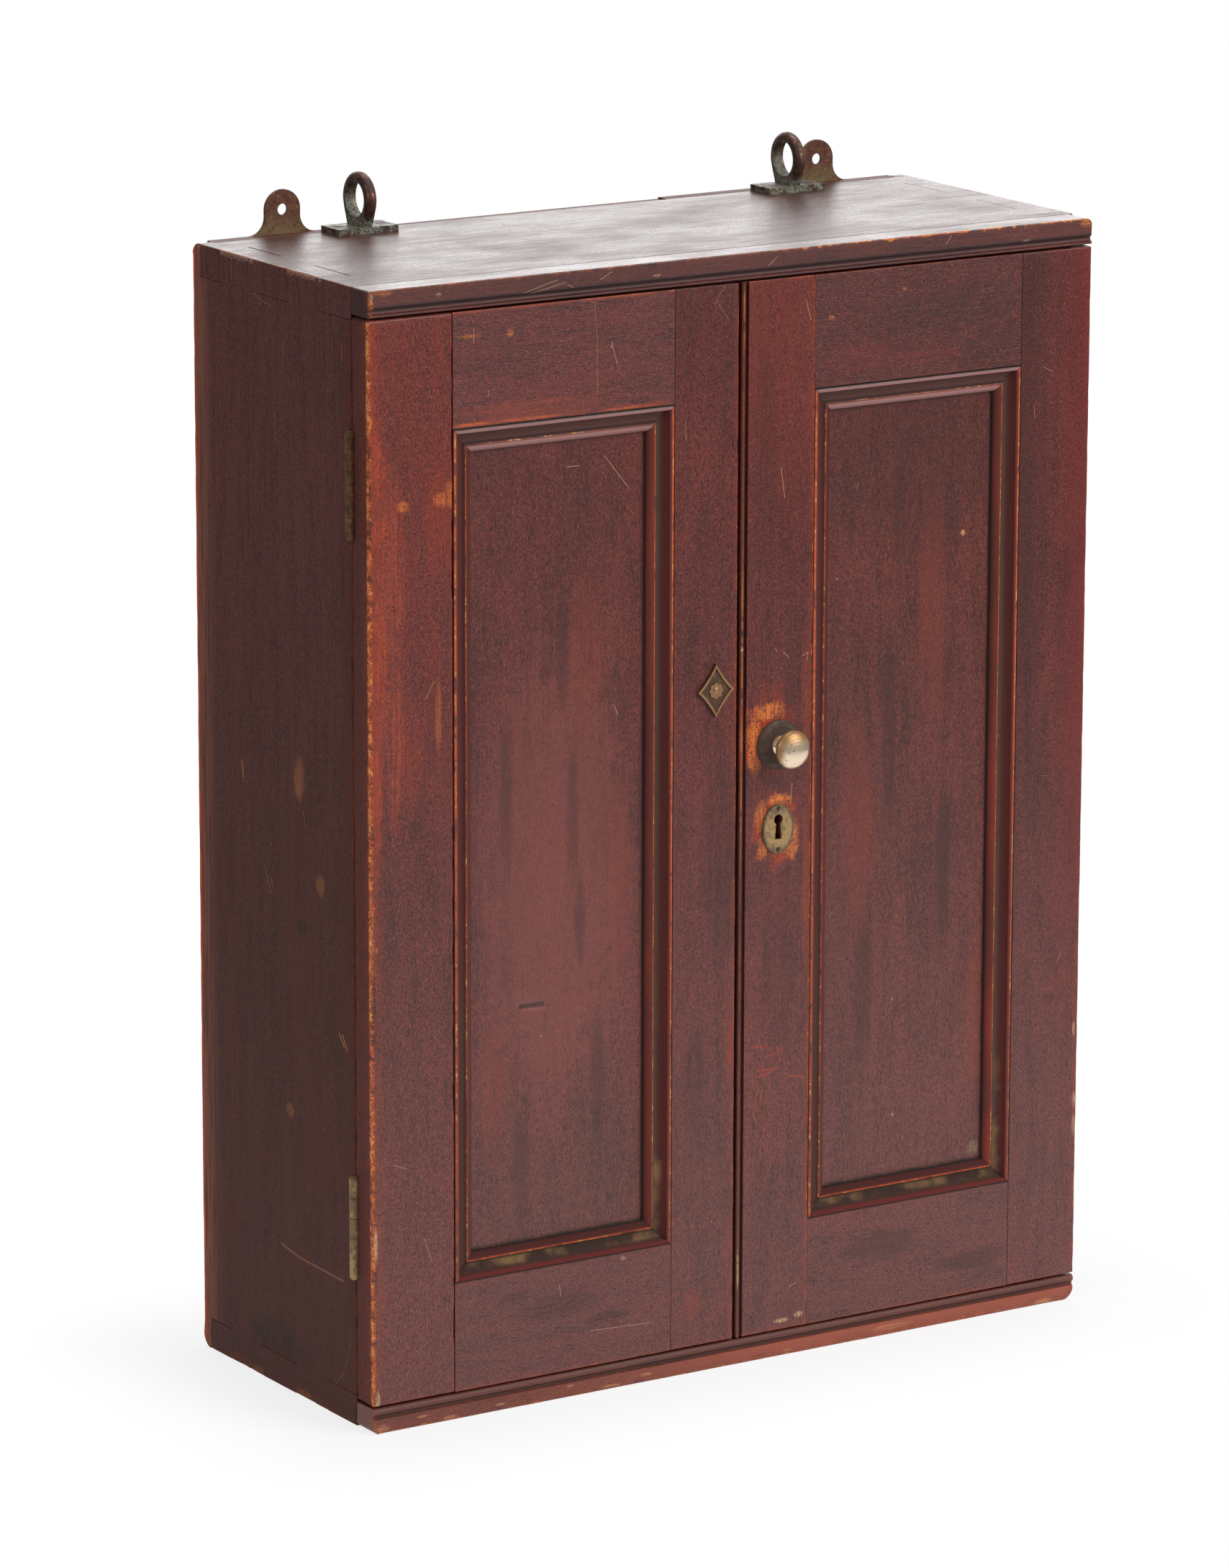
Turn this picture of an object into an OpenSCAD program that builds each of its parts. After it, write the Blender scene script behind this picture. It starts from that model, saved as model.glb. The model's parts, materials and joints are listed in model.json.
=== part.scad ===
// Wall cabinet for cigars: a dovetailed case, two framed and panelled doors, three shelves, a knob that
// turns a tongue behind the other door, a lock, two inside bolts, hanging plates and ring plates on top.
// X runs to the right, Y to the back and Z up. The origin is the middle of the underside.

/* [Case] */
// Width over the two sides
cabinet_w = 520; // [480:10:640]
// Depth from the front of the doors to the back
cabinet_d = 210; // [195:5:280]
// Height of the case without the fittings on top
cabinet_h = 700; // [620:10:900]
// Thickness of the sides, the top and the bottom
board_t = 20; // [19:0.5:24]
// Distance from the back or front edge of a side to its nearest dovetail
tail_end = 34; // [28:1:40]
// Width of a dovetail at its wide end
tail_w = 41; // [30:1:44]
// Length over which a dovetail's flank leans 1 mm
tail_slope = 7; // [6:0.5:10]

/* [Back boards] */
// Thickness of the back boards
back_t = 10; // [8:0.5:12]
// How far the back boards reach into each side
back_rebate = 10; // [6:0.5:12]
// First joint of the back boards, from the left side
back_joint_left = 130; // [115:5:160]
// Second joint of the back boards, from the right side
back_joint_right = 185; // [150:5:200]
// How far the middle back board stops below the others
back_middle_drop = 1; // [0:0.25:3]
// Thickness of the tongues between the back boards
tongue_t = 3; // [2:0.25:4]
// Length of those tongues
tongue_l = 5; // [3:0.5:8]

/* [Shelves] */
// Thickness of a shelf
shelf_t = 10; // [8:0.5:14]
// How far a shelf is housed in each side
shelf_housing = 6; // [3:0.5:8]
// Distance from the front edge of the sides to the shelves
shelf_setback = 28; // [24:1:45]

/* [Front strips] */
// Height of the moulded strip above the doors
strip_top_h = 16.3; // [14:0.1:18]
// Height of the moulded strip below the doors
strip_bottom_h = 16; // [14:0.5:18]
// Radius of the cove under the top strip
strip_cove_r = 1.8; // [1:0.1:2.2]
// Radius of the bead on the bottom strip
strip_bead_r = 2.5; // [1.5:0.1:3]
// Depth of the sunk lines beside the beads
strip_quirk_d = 1.6; // [0.8:0.1:2.4]

/* [Doors] */
// Thickness of the doors
door_t = 20; // [19:0.5:24]
// Gap between the back of the doors and the case
door_gap = 0.5; // [0.4:0.05:1]
// Gap above and below the doors
door_clear = 1.4; // [0.8:0.1:2.5]
// Gap between the two doors
meeting_gap = 2.4; // [1.6:0.1:4]
// Width of the left door's hinge stile
left_hinge_stile_w = 57.5; // [48:0.5:70]
// Width of the left door's meeting stile
left_meeting_stile_w = 46; // [44:0.5:60]
// Width of the right door's meeting stile
right_meeting_stile_w = 53; // [53:0.5:62]
// Width of the right door's hinge stile
right_hinge_stile_w = 52.5; // [48:0.5:70]
// Height of the top rails
top_rail_h = 70; // [60:1:90]
// Height of the bottom rails
bottom_rail_h = 69; // [60:1:90]
// Length of the tenons on the rails
tenon_l = 20; // [12:0.5:20]
// Thickness of those tenons
tenon_t = 7; // [5:0.5:8]
// Width of each shoulder beside a tenon
tenon_shoulder = 12; // [10:0.5:18]
// Radius of the bead along the right door's meeting edge
edge_bead_r = 1.5; // [1:0.1:2]
// Width of the sunk line beside that bead
edge_quirk_w = 1.8; // [1:0.1:2.4]
// Depth of that sunk line
edge_quirk_d = 2; // [1:0.1:3]

/* [Panels] */
// Thickness of a panel
panel_t = 6; // [5:0.25:7]
// How far the panels lie behind the front of the doors
panel_setback = 9; // [8:0.25:10]
// Depth of the grooves that hold the panels
groove_d = 8; // [5:0.5:8.5]
// Room for a panel to swell in its groove
panel_room = 1; // [0.5:0.1:2]
// Width of the mitred moulding round a panel
moulding_w = 16; // [14:0.25:20]
// How far the moulding's bead stands in front of the door
moulding_proud = 0.8; // [0:0.1:2]
// Radius of the moulding's outer bead
moulding_bead_r = 1.6; // [1.2:0.1:2]
// Height of the step beside that bead, above the panel
moulding_step_h = 7.2; // [6:0.1:8]
// Radius of the moulding's cove
moulding_cove_r = 4.6; // [4.5:0.1:7]
// Radius of the moulding's inner quarter round
moulding_ovolo_r = 5; // [4:0.1:5.5]

/* [Hinges] */
// Height of a hinge
hinge_h = 63; // [50:1:76]
// Distance from the top of a door to its upper hinge
hinge_from_top = 69; // [50:1:110]
// Distance from the bottom of a door to its lower hinge
hinge_from_bottom = 77; // [50:1:110]
// Thickness of a hinge leaf
leaf_t = 1.5; // [1.2:0.1:2]
// Width of a leaf from the pin to its edge
leaf_w = 17.5; // [15:0.5:18]
// Gap between the two closed leaves
leaf_gap = 0.3; // [0.2:0.05:0.4]
// Outer radius of the knuckles
knuckle_r = 3.2; // [2.8:0.1:3.8]
// Gap between two knuckles
knuckle_gap = 0.2; // [0.1:0.05:0.3]
// Radius of a hinge pin
pin_r = 1.5; // [1.2:0.1:1.8]
// Distance from a side's outer face to the pin's axis
pin_out = 0.8; // [0.6:0.1:1.5]
// Height of the heads at the ends of a pin
pin_head_h = 0.8; // [0.5:0.1:1.5]
// Room round the knuckles in the wood
knuckle_room = 0.3; // [0.2:0.05:0.6]

/* [Knob] */
// Radius of the knob
knob_r = 12; // [10:0.5:14]
// How far the knob stands out from the door
knob_out = 22; // [19:0.5:28]
// Thickness of the knob's round head
knob_head_t = 11; // [8:0.5:13]
// Radius of the knob's neck
knob_neck_r = 4.6; // [4:0.1:6]
// Distance from the meeting edge to the knob and the keyhole
knob_in = 28; // [27:0.5:32]
// Height of the knob above the middle of the keyhole plate
knob_above_key = 53; // [52:1:80]
// Radius of the plate behind the knob
rose_r = 15.5; // [12:0.5:17]
// Thickness of that plate
rose_t = 3; // [2:0.25:4]
// Radius of the knob's spindle
spindle_r = 4; // [3:0.25:4.25]
// How far the tongue reaches past the other door's edge
tongue_reach = 13; // [8:0.5:16]
// Thickness of the tongue
tongue_plate_t = 4; // [2:0.25:5]
// Width of the tongue at its tip
tongue_plate_w = 10; // [7:0.5:12]
// Radius of the tongue's round end
tongue_hub_r = 8; // [6.5:0.5:9]

/* [Lock] */
// Height of the middle of the keyhole plate above the underside
key_h = 340.5; // [300:0.5:380]
// Width of the oval keyhole plate
escutcheon_w = 22.5; // [20:0.5:26]
// Height of that plate
escutcheon_h = 31; // [28:0.5:36]
// Thickness of that plate
escutcheon_t = 1.5; // [1:0.1:2.5]
// Radius of the keyhole's round part
keyhole_r = 3.2; // [3:0.1:3.8]
// Width of the keyhole's slot at its lower end
keyhole_slot_w = 4.8; // [3.5:0.1:5.5]
// Width of the lock case, from the meeting edge
lock_w = 43; // [42:0.5:43.5]
// Depth of the lock case in the door
lock_d = 10; // [9:0.25:10.5]
// Thickness of the lock's sheet
lock_sheet_t = 1.2; // [0.8:0.1:1.5]
// How far the lock case reaches below the middle of the keyhole plate
lock_down = 18; // [16:0.5:22]
// How far the lock case reaches above it
lock_up = 32; // [29:0.5:36]
// Height of the middle of the lock's bolt above it
lock_bolt_up = 17; // [16.5:0.5:19]
// Distance from the meeting edge to the stud that guides the bolt
stud_in = 27; // [20:0.5:29]
// Distance from the meeting edge to the middle of the spring
spring_in = 22; // [16:0.5:28]
// Height of the lock's bolt
lock_bolt_h = 14; // [10:0.5:15]
// Thickness of that bolt
lock_bolt_t = 5; // [4:0.25:5.5]
// Travel of that bolt
lock_throw = 6; // [4:0.5:7]

/* [Inside bolts] */
// Width of a bolt
bolt_w = 9; // [7:0.5:10]
// Thickness of a bolt
bolt_t = 5; // [4:0.25:6]
// Travel of a bolt
bolt_throw = 10; // [7:0.5:11]
// Height of a bolt's plate
bolt_plate_h = 66; // [64:1:80]
// Distance from the meeting edge to the bolts
bolt_in = 13.5; // [13:0.25:14]
// Distance from the back of the door to the bolt
bolt_bed = 4; // [3.5:0.25:6]
// Gap between a drawn bolt and the board that it enters
bolt_clear = 1.5; // [1:0.25:2.5]

/* [Plates on top] */
// Distance from the left side to the middle of the left ring plate
ring_left_in = 106.5; // [95:0.5:120]
// Distance from the right side to the middle of the right ring plate
ring_right_in = 99.5; // [95:0.5:120]
// Distance from the back to the middle of the ring plates
ring_from_back = 19; // [17:0.5:24]
// Length of a ring plate
ring_plate_l = 42; // [38:1:50]
// Width of a ring plate
ring_plate_w = 22; // [18:1:26]
// Thickness of a ring plate
ring_plate_t = 4; // [3:0.25:6]
// Height of a ring's centre above the case
ring_rise = 20.5; // [20:0.5:26]
// Radius of a ring's hole
ring_hole_r = 11.25; // [8:0.25:12]
// Distance from a ring's hole to the middle of its round outside
ring_web = 1.5; // [1.2:0.1:4]
// Width of a ring along its hole
ring_w = 7.6; // [5:0.1:9]
// Distance from the left side to the middle of the left hanging plate
hang_left_in = 62; // [52:1:66]
// Distance from the right side to the middle of the right hanging plate
hang_right_in = 66; // [52:1:68]
// Thickness of a hanging plate
hang_t = 2; // [1.5:0.1:3]
// Radius of a hanging plate's round top
hang_top_r = 12.3; // [10:0.1:14]
// Height of the hanging hole above the case
hang_hole_rise = 15; // [13:0.5:20]
// Radius of the hanging hole
hang_hole_r = 3.5; // [2.5:0.1:5]
// Radius of the hollow corners under the round top
hang_flare_r = 11; // [8:0.5:12]
// How far a hanging plate reaches down the back
hang_tail_h = 38; // [34:1:50]

/* [Ornament] */
// Distance from the meeting edge to the middle of the left door's ornament
ornament_in = 16; // [15:0.5:23]
// Height of that ornament above the underside
ornament_up = 433; // [400:1:480]
// Width of the ornament
ornament_w = 26; // [20:0.5:28]
// Height of the ornament
ornament_h = 33; // [28:0.5:40]

/* [Hidden] */

$fn = 48;

// Clearances and small common sizes
running_clear = 0.05;
slide_clear = 0.08;
screw_clear = 0.05;
seat_clear = 0.1;
over = 1;

// Colours
wood_dark = "#4a2421";
wood_front = "#7a3420";
wood_moulding = "#6a2c1c";
wood_panel = "#74321f";
wood_inside = "#9a6a3c";
brass_dark = "#5e3a26";
brass_bright = "#b98a3e";
steel = "#7d776c";

// Planes of the case
half_w = cabinet_w / 2;
door_front = -cabinet_d / 2;
door_back = door_front + door_t;
case_front = door_back + door_gap;
case_back = cabinet_d / 2;
back_front = case_back - back_t;
inside_x = half_w - board_t;
inside_z0 = board_t;
inside_z1 = cabinet_h - board_t;
case_depth = case_back - case_front;
strip_t = door_t + door_gap;

// Dovetails: two on each side, at the top and at the bottom
tail_count = 2;
tail_pitch = (case_depth - 2 * tail_end - tail_w) / (tail_count - 1);
tail_lean = board_t / tail_slope;

// Back boards
back_x0 = -inside_x - back_rebate;
back_x1 = -half_w + back_joint_left;
back_x2 = half_w - back_joint_right;
back_x3 = inside_x + back_rebate;
tongue_clear = 0.15;
back_screw_in = 20;
back_screw_l = 26;

// Doors
door_z0 = strip_bottom_h + door_clear;
door_z1 = cabinet_h - strip_top_h - door_clear;
open_z0 = door_z0 + bottom_rail_h;
open_z1 = door_z1 - top_rail_h;
meet_x = meeting_gap / 2;
left_open_x0 = -half_w + left_hinge_stile_w;
left_open_x1 = -meet_x - left_meeting_stile_w;
right_open_x0 = meet_x + right_meeting_stile_w;
right_open_x1 = half_w - right_hinge_stile_w;
panel_front = door_front + panel_setback;
panel_back = panel_front + panel_t;
panel_hold = groove_d - panel_room;
tenon_y0 = panel_front + panel_t / 2 - tenon_t / 2;
tenon_y1 = tenon_y0 + tenon_t;
moulding_h = panel_setback + moulding_proud;
mitre_gap = 0.1;

// Top strip: a nose under the cove and a fine sunk line above it
strip_nose_h = 1.8;
strip_line_h = 0.6;
strip_line_d = 0.5;
strip_fascia_h = 9;
strip_quirk_h = 2;

// Moulding: the cove's circle passes through the step and the arris
step_point = [2 * moulding_bead_r, moulding_step_h];
arris_point = [moulding_w - moulding_ovolo_r, moulding_ovolo_r];
cove_chord = norm(arris_point - step_point);
cove_normal = [step_point[1] - arris_point[1], arris_point[0] - step_point[0]] / cove_chord;
cove_rise = sqrt(pow(moulding_cove_r, 2) - pow(cove_chord / 2, 2));
cove_centre = (step_point + arris_point) / 2 + cove_normal * cove_rise;

// Hinges
pin_x = half_w + pin_out;
pin_y = door_back + door_gap / 2;
upper_hinge_z = door_z1 - hinge_from_top - hinge_h / 2;
lower_hinge_z = door_z0 + hinge_from_bottom + hinge_h / 2;
knuckle_count = 5;
knuckle_h = hinge_h / knuckle_count;
leaf_root = knuckle_r + knuckle_room;
leaf_in = leaf_gap / 2;
leaf_out = leaf_in + leaf_t;
pin_head_r = pin_r + 0.9;
leaf_screw_in = 6;
leaf_screw_step = hinge_h / 3;

// Screws: shank radius, head radius, head height and length
hinge_screw = [1.6, 3.1, 1.4, 14];
small_screw = [1.1, 2.1, 1.0, 7.5];
ring_screw = [2, 4, 2, 18];
hang_screw = [1.6, 3.1, 1.4, 20];
hang_short_screw = [1.6, 3.1, 1.4, 7];
back_screw = [1.4, 2.6, 1.2, back_screw_l];
slot_w = 0.8;
slot_d = 0.6;
tip_l = 1.5;

// Ring plates
ring_left_x = -half_w + ring_left_in;
ring_right_x = half_w - ring_right_in;
ring_y = case_back - ring_from_back;
ring_outer_r = ring_hole_r + ring_web + ring_w / 2;
ring_screw_x = ring_plate_l / 2 - 6;
ring_foot = 16;

// Hanging plates
hang_left_x = -half_w + hang_left_in;
hang_right_x = half_w - hang_right_in;
hang_half_w = hang_top_r + hang_flare_r;
hang_tail_half_w = hang_half_w + 1;
hang_screw_x = 12;
hang_screw_drop = board_t / 2;
hang_low_screw_up = 6;
hang_corner = 6;

// Inside bolts, measured from the face of the board that they enter
bolt_x = -meet_x - bolt_in;
bolt_plate_t = 1.5;
bolt_plate_half_w = 11;
bolt_plate_gap = 4;
bolt_guide_h = 8;
bolt_guide_wall = 2;
bolt_y0 = bolt_bed + slide_clear;
bolt_y1 = bolt_y0 + bolt_t;
bolt_l = bolt_plate_h - 2;
bolt_thumb_r = 3.2;
bolt_thumb_l = 7;
bolt_screw_x = 8;
bolt_screw_inset = 18;
bolt_upper_guide_z = -bolt_plate_gap - 2 - bolt_guide_h;
bolt_lower_guide_z = -bolt_plate_gap - bolt_plate_h + 4;
bolt_thumb_z = bolt_upper_guide_z - bolt_throw - bolt_thumb_r - 0.5;
mortise_room = 0.5;
mortise_deep = bolt_throw + 2;
keeper_t = 1.5;
keeper_half_w = 15;
keeper_y0 = door_gap;
keeper_y1 = bolt_y1 + 5;
keeper_screw_x = 11;

// Lock, measured from the right door's meeting edge and the middle of the keyhole plate
lock_x0 = meet_x;
lock_x1 = meet_x + lock_w;
key_x = meet_x + knob_in;
keyhole_round_up = 6;
keyhole_slot_down = 6.5;
keyhole_slot_top_w = 3.2;
lock_z0 = key_h - lock_down;
lock_z1 = key_h + lock_up;
lock_y0 = door_back - lock_d;
lock_y1 = door_back - lock_sheet_t;
cap_margin = 10;
cap_side = 6;
cap_x1 = meet_x + lock_w + cap_side;
cap_screw_z = cap_margin / 2;
cap_screw_in = 8;
cap_screw_x0 = meet_x + cap_screw_in;
cap_screw_x1 = cap_x1 - cap_screw_in + 0.5;
lock_bolt_zc = key_h + lock_bolt_up;
lock_bolt_yc = (lock_y0 + door_back) / 2;
lock_bolt_l = lock_w - 4;
stud_r = 2;
stud_x = meet_x + stud_in;
talon_w = 8;
talon_h = 2.5;
spring_t = 0.6;
spring_span = 24;
spring_x = meet_x + spring_in;
lock_keeper_half_h = 18;
lock_keeper_screw_z = 13.5;
lock_mortise_deep = lock_throw + 2;

// Knob and its tongue
knob_z = key_h + knob_above_key;
knob_mid = knob_out - knob_head_t / 2;
tongue_clear_y = 0.4;
tongue_y0 = door_back + tongue_clear_y;
tongue_l_total = knob_in + meeting_gap + tongue_reach;
spindle_end = tongue_y0 + tongue_plate_t + 1.5;
rivet_r = spindle_r + 1;

// Ornament
ornament_x = -meet_x - ornament_in;
ornament_plate_t = 1.2;
ornament_rim_t = 0.8;
ornament_rim_w = 2.2;
ornament_pin_z = 9;
lozenge_hollow = 0.6;
petals = 8;
petal_r = 1.5;
petal_out = 3.5;
boss_r = 2.3;
front_pin_r = 0.8;
front_pin_head_r = 1.5;
front_pin_l = 7;

// A box between two corners
module block(a, b) {
    translate(a) cube(b - a);
}

// Turns what points up so that it points to the front, the back, the left, the right or down
module to_front() { rotate([90, 0, 0]) children(); }
module to_back() { rotate([-90, 0, 0]) children(); }
module to_left() { rotate([0, -90, 0]) children(); }
module to_down() { rotate([180, 0, 0]) children(); }

// A countersunk screw with its head's top at the origin, pointing down
module screw(s) {
    difference() {
        rotate_extrude()
            polygon([[0, 0], [s[1], 0], [s[0], -s[2]], [s[0], tip_l - s[3]], [0, -s[3]]]);
        cube([3 * s[1], slot_w, 2 * slot_d], center = true);
    }
}

// The hole for that screw, a little larger all round
module screw_hole(s) {
    c = screw_clear;
    rotate_extrude()
        polygon([[0, over], [s[1] + c, over], [s[1] + c, 0], [s[0] + c, -s[2]],
                 [s[0] + c, tip_l - s[3] - c], [0, -s[3] - 2 * c]]);
}

// The dovetails of the left side, as prisms across the thickness of the board
module tails() {
    for (i = [0 : tail_count - 1]) {
        y1 = case_back - tail_end - i * tail_pitch;
        y0 = y1 - tail_w;
        translate([-half_w - over, 0, 0])
            rotate([90, 0, 90])
                linear_extrude(board_t + over) {
                    polygon([[y0, cabinet_h], [y1, cabinet_h],
                             [y1 - tail_lean, inside_z1], [y0 + tail_lean, inside_z1]]);
                    polygon([[y0, 0], [y1, 0], [y1 - tail_lean, inside_z0], [y0 + tail_lean, inside_z0]]);
                }
    }
}

module shelf_at(k) {
    z = inside_z0 + (inside_z1 - inside_z0) * k / 4 - shelf_t / 2;
    block([-inside_x - shelf_housing, case_front + shelf_setback, z],
          [inside_x + shelf_housing, back_front, z + shelf_t]);
}

// The left side; the right side is its mirror image
module side_board() {
    difference() {
        block([-half_w, case_front, 0], [-inside_x, case_back, cabinet_h]);
        difference() {
            for (z = [[-over, inside_z0], [inside_z1, cabinet_h + over]])
                block([-half_w - over, case_front - over, z[0]], [0, back_front, z[1]]);
            tails();
        }
        block([-inside_x - back_rebate, back_front, -over], [0, case_back + over, cabinet_h + over]);
        for (k = [1 : 3]) shelf_at(k);
        for (z = [upper_hinge_z, lower_hinge_z]) at_left_hinge(z) hinge_pocket(1);
    }
}

module side_left() { color(wood_dark) side_board(); }
module side_right() { color(wood_dark) mirror([1, 0, 0]) side_board(); }

module case_board(z0, z1) {
    difference() {
        block([-half_w, case_front, z0], [half_w, back_front, z1]);
        for (m = [0, 1]) mirror([m, 0, 0]) tails();
        back_screw_holes();
    }
}

module top_board() {
    color(wood_dark) difference() {
        case_board(inside_z1, cabinet_h);
        at_bolt(1) keeper_pocket();
        ring_screws_at() screw_hole(ring_screw);
        hang_screws_at() screw_hole(hang_screw);
    }
}

module bottom_board() {
    color(wood_dark) difference() {
        case_board(0, inside_z0);
        at_bolt(-1) keeper_pocket();
    }
}

// Places of the screws through the back boards, heads to the back
module back_screws_at() {
    for (x = [back_x0 + back_screw_in, back_x1 - back_screw_in, back_x1 + back_screw_in,
              back_x2 - back_screw_in, back_x2 + back_screw_in, back_x3 - back_screw_in])
        for (z = [board_t / 2, cabinet_h - board_t / 2])
            translate([x, case_back, z]) to_back() children();
}

module back_screw_holes() { back_screws_at() screw_hole(back_screw); }
module back_screws() { color(steel) back_screws_at() screw(back_screw); }

module back_tongue(x0, x1, clear) {
    y = (back_front + case_back) / 2;
    block([x0, y - tongue_t / 2 - clear, -over], [x1, y + tongue_t / 2 + clear, cabinet_h + over]);
}

module back_board_left() {
    color(wood_dark) difference() {
        union() {
            block([back_x0, back_front, 0], [back_x1, case_back, cabinet_h]);
            intersection() {
                block([back_x0, back_front, 0], [back_x2, case_back, cabinet_h - back_middle_drop]);
                back_tongue(back_x1 - over, back_x1 + tongue_l, 0);
            }
        }
        back_screw_holes();
        hanging_pockets();
    }
}

module back_board_middle() {
    color(wood_dark) difference() {
        block([back_x1, back_front, 0], [back_x2, case_back, cabinet_h - back_middle_drop]);
        back_tongue(back_x1 - over, back_x1 + tongue_l + tongue_clear, tongue_clear);
        back_tongue(back_x2 - tongue_l - tongue_clear, back_x2 + over, tongue_clear);
        back_screw_holes();
    }
}

module back_board_right() {
    color(wood_dark) difference() {
        union() {
            block([back_x2, back_front, 0], [back_x3, case_back, cabinet_h]);
            intersection() {
                block([back_x1, back_front, 0], [back_x3, case_back, cabinet_h - back_middle_drop]);
                back_tongue(back_x2 - tongue_l, back_x2 + over, 0);
            }
        }
        back_screw_holes();
        hanging_pockets();
    }
}

module shelf_lower() { color(wood_inside) shelf_at(1); }
module shelf_middle() { color(wood_inside) shelf_at(2); }
module shelf_upper() { color(wood_inside) shelf_at(3); }

// Cross-sections of the strips, with the front face at the left and the underside at the bottom
module strip_top_section() {
    r = strip_nose_h / 2;
    difference() {
        square([strip_t, strip_top_h]);
        translate([0, strip_nose_h + strip_cove_r]) circle(strip_cove_r);
        translate([-over, strip_nose_h + 2 * strip_cove_r]) square([over + strip_line_d, strip_line_h]);
        square([r, strip_nose_h]);
    }
    translate([r, r]) circle(r);
}

module strip_bottom_section() {
    r = strip_bead_r;
    difference() {
        square([strip_t, strip_bottom_h]);
        translate([0, strip_bottom_h - 2 * r]) square([r, 2 * r]);
        translate([-over, strip_bottom_h - 2 * r - strip_quirk_h])
            square([over + strip_quirk_d, strip_quirk_h]);
    }
    translate([r, strip_bottom_h - r]) circle(r);
}

module along_front(z) {
    translate([-half_w, door_front, z]) rotate([90, 0, 90]) linear_extrude(cabinet_w) children();
}

module front_strip_top() { color(wood_front) along_front(cabinet_h - strip_top_h) strip_top_section(); }
module front_strip_bottom() { color(wood_front) along_front(0) strip_bottom_section(); }

// Hinges: the pin's axis is local Z, the wood lies at negative X, the case at positive Y
module at_right_hinge(z) { translate([pin_x, pin_y, z]) children(); }
module at_left_hinge(z) { mirror([1, 0, 0]) at_right_hinge(z) children(); }

module leaf_screws_at(s) {
    for (k = [-1 : 1])
        translate([leaf_screw_in - leaf_w, s * leaf_in, k * leaf_screw_step])
            rotate([s * 90, 0, 0]) children();
}

// A leaf: s = 1 lies against the case and has three knuckles, s = -1 lies against the door and has two
module leaf(s) {
    y0 = min(s * leaf_in, s * leaf_out);
    first = s > 0 ? 0 : 1;
    difference() {
        union() {
            translate([-leaf_w, y0, -hinge_h / 2]) cube([leaf_w - leaf_root, leaf_t, hinge_h]);
            for (i = [first : 2 : knuckle_count - 1]) {
                low = -hinge_h / 2 + i * knuckle_h + (i == 0 ? 0 : knuckle_gap / 2);
                high = -hinge_h / 2 + (i + 1) * knuckle_h - (i == knuckle_count - 1 ? 0 : knuckle_gap / 2);
                translate([0, 0, low]) cylinder(r = knuckle_r, h = high - low);
                translate([-leaf_root - over, y0, low]) cube([leaf_root + over, leaf_t, high - low]);
            }
        }
        translate([0, 0, -hinge_h / 2 - over]) cylinder(r = pin_r + running_clear, h = hinge_h + 2 * over);
        leaf_screws_at(s) screw_hole(hinge_screw);
    }
}

// What a hinge takes out of the wood on one side
module hinge_pocket(s) {
    y0 = min(-s * over, s * leaf_out);
    tall = hinge_h + 2 * (pin_head_h + knuckle_room);
    translate([0, 0, -tall / 2]) cylinder(r = leaf_root, h = tall);
    translate([-leaf_w - seat_clear, y0, -hinge_h / 2 - seat_clear])
        cube([leaf_w + seat_clear + 2 * knuckle_r, leaf_out + over, hinge_h + 2 * seat_clear]);
    leaf_screws_at(s) screw_hole(hinge_screw);
}

module hinge_pin() {
    translate([0, 0, -hinge_h / 2]) cylinder(r = pin_r, h = hinge_h);
    for (m = [0, 1])
        mirror([0, 0, m]) translate([0, 0, hinge_h / 2]) cylinder(r = pin_head_r, h = pin_head_h);
}

module case_leaf_left_upper() { color(brass_dark) at_left_hinge(upper_hinge_z) leaf(1); }
module case_leaf_left_lower() { color(brass_dark) at_left_hinge(lower_hinge_z) leaf(1); }
module case_leaf_right_upper() { color(brass_dark) at_right_hinge(upper_hinge_z) leaf(1); }
module case_leaf_right_lower() { color(brass_dark) at_right_hinge(lower_hinge_z) leaf(1); }
module left_leaf_upper() { color(brass_dark) at_left_hinge(upper_hinge_z) leaf(-1); }
module left_leaf_lower() { color(brass_dark) at_left_hinge(lower_hinge_z) leaf(-1); }
module right_leaf_upper() { color(brass_dark) at_right_hinge(upper_hinge_z) leaf(-1); }
module right_leaf_lower() { color(brass_dark) at_right_hinge(lower_hinge_z) leaf(-1); }

module hinge_pins() {
    color(brass_dark)
        for (z = [upper_hinge_z, lower_hinge_z]) {
            at_left_hinge(z) hinge_pin();
            at_right_hinge(z) hinge_pin();
        }
}

module case_hinge_screws() {
    color(steel)
        for (z = [upper_hinge_z, lower_hinge_z]) {
            at_left_hinge(z) leaf_screws_at(1) screw(hinge_screw);
            at_right_hinge(z) leaf_screws_at(1) screw(hinge_screw);
        }
}

// Door frames. The inner edge of a stile is at x; the groove and the mortises lie on the side s of it
module stile_cuts(x, s) {
    groove_x = x + s * groove_d;
    mortise_x = x + s * (tenon_l + mortise_room);
    block([min(x - s * over, groove_x), panel_front, open_z0 - groove_d],
          [max(x - s * over, groove_x), panel_back + seat_clear, open_z1 + groove_d]);
    for (z = [[door_z0, open_z0], [open_z1, door_z1]])
        block([min(x - s * over, mortise_x), tenon_y0, z[0] + tenon_shoulder],
              [max(x - s * over, mortise_x), tenon_y1, z[1] - tenon_shoulder]);
}

module stile(x0, x1) {
    block([x0, door_front, door_z0], [x1, door_back, door_z1]);
}

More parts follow.
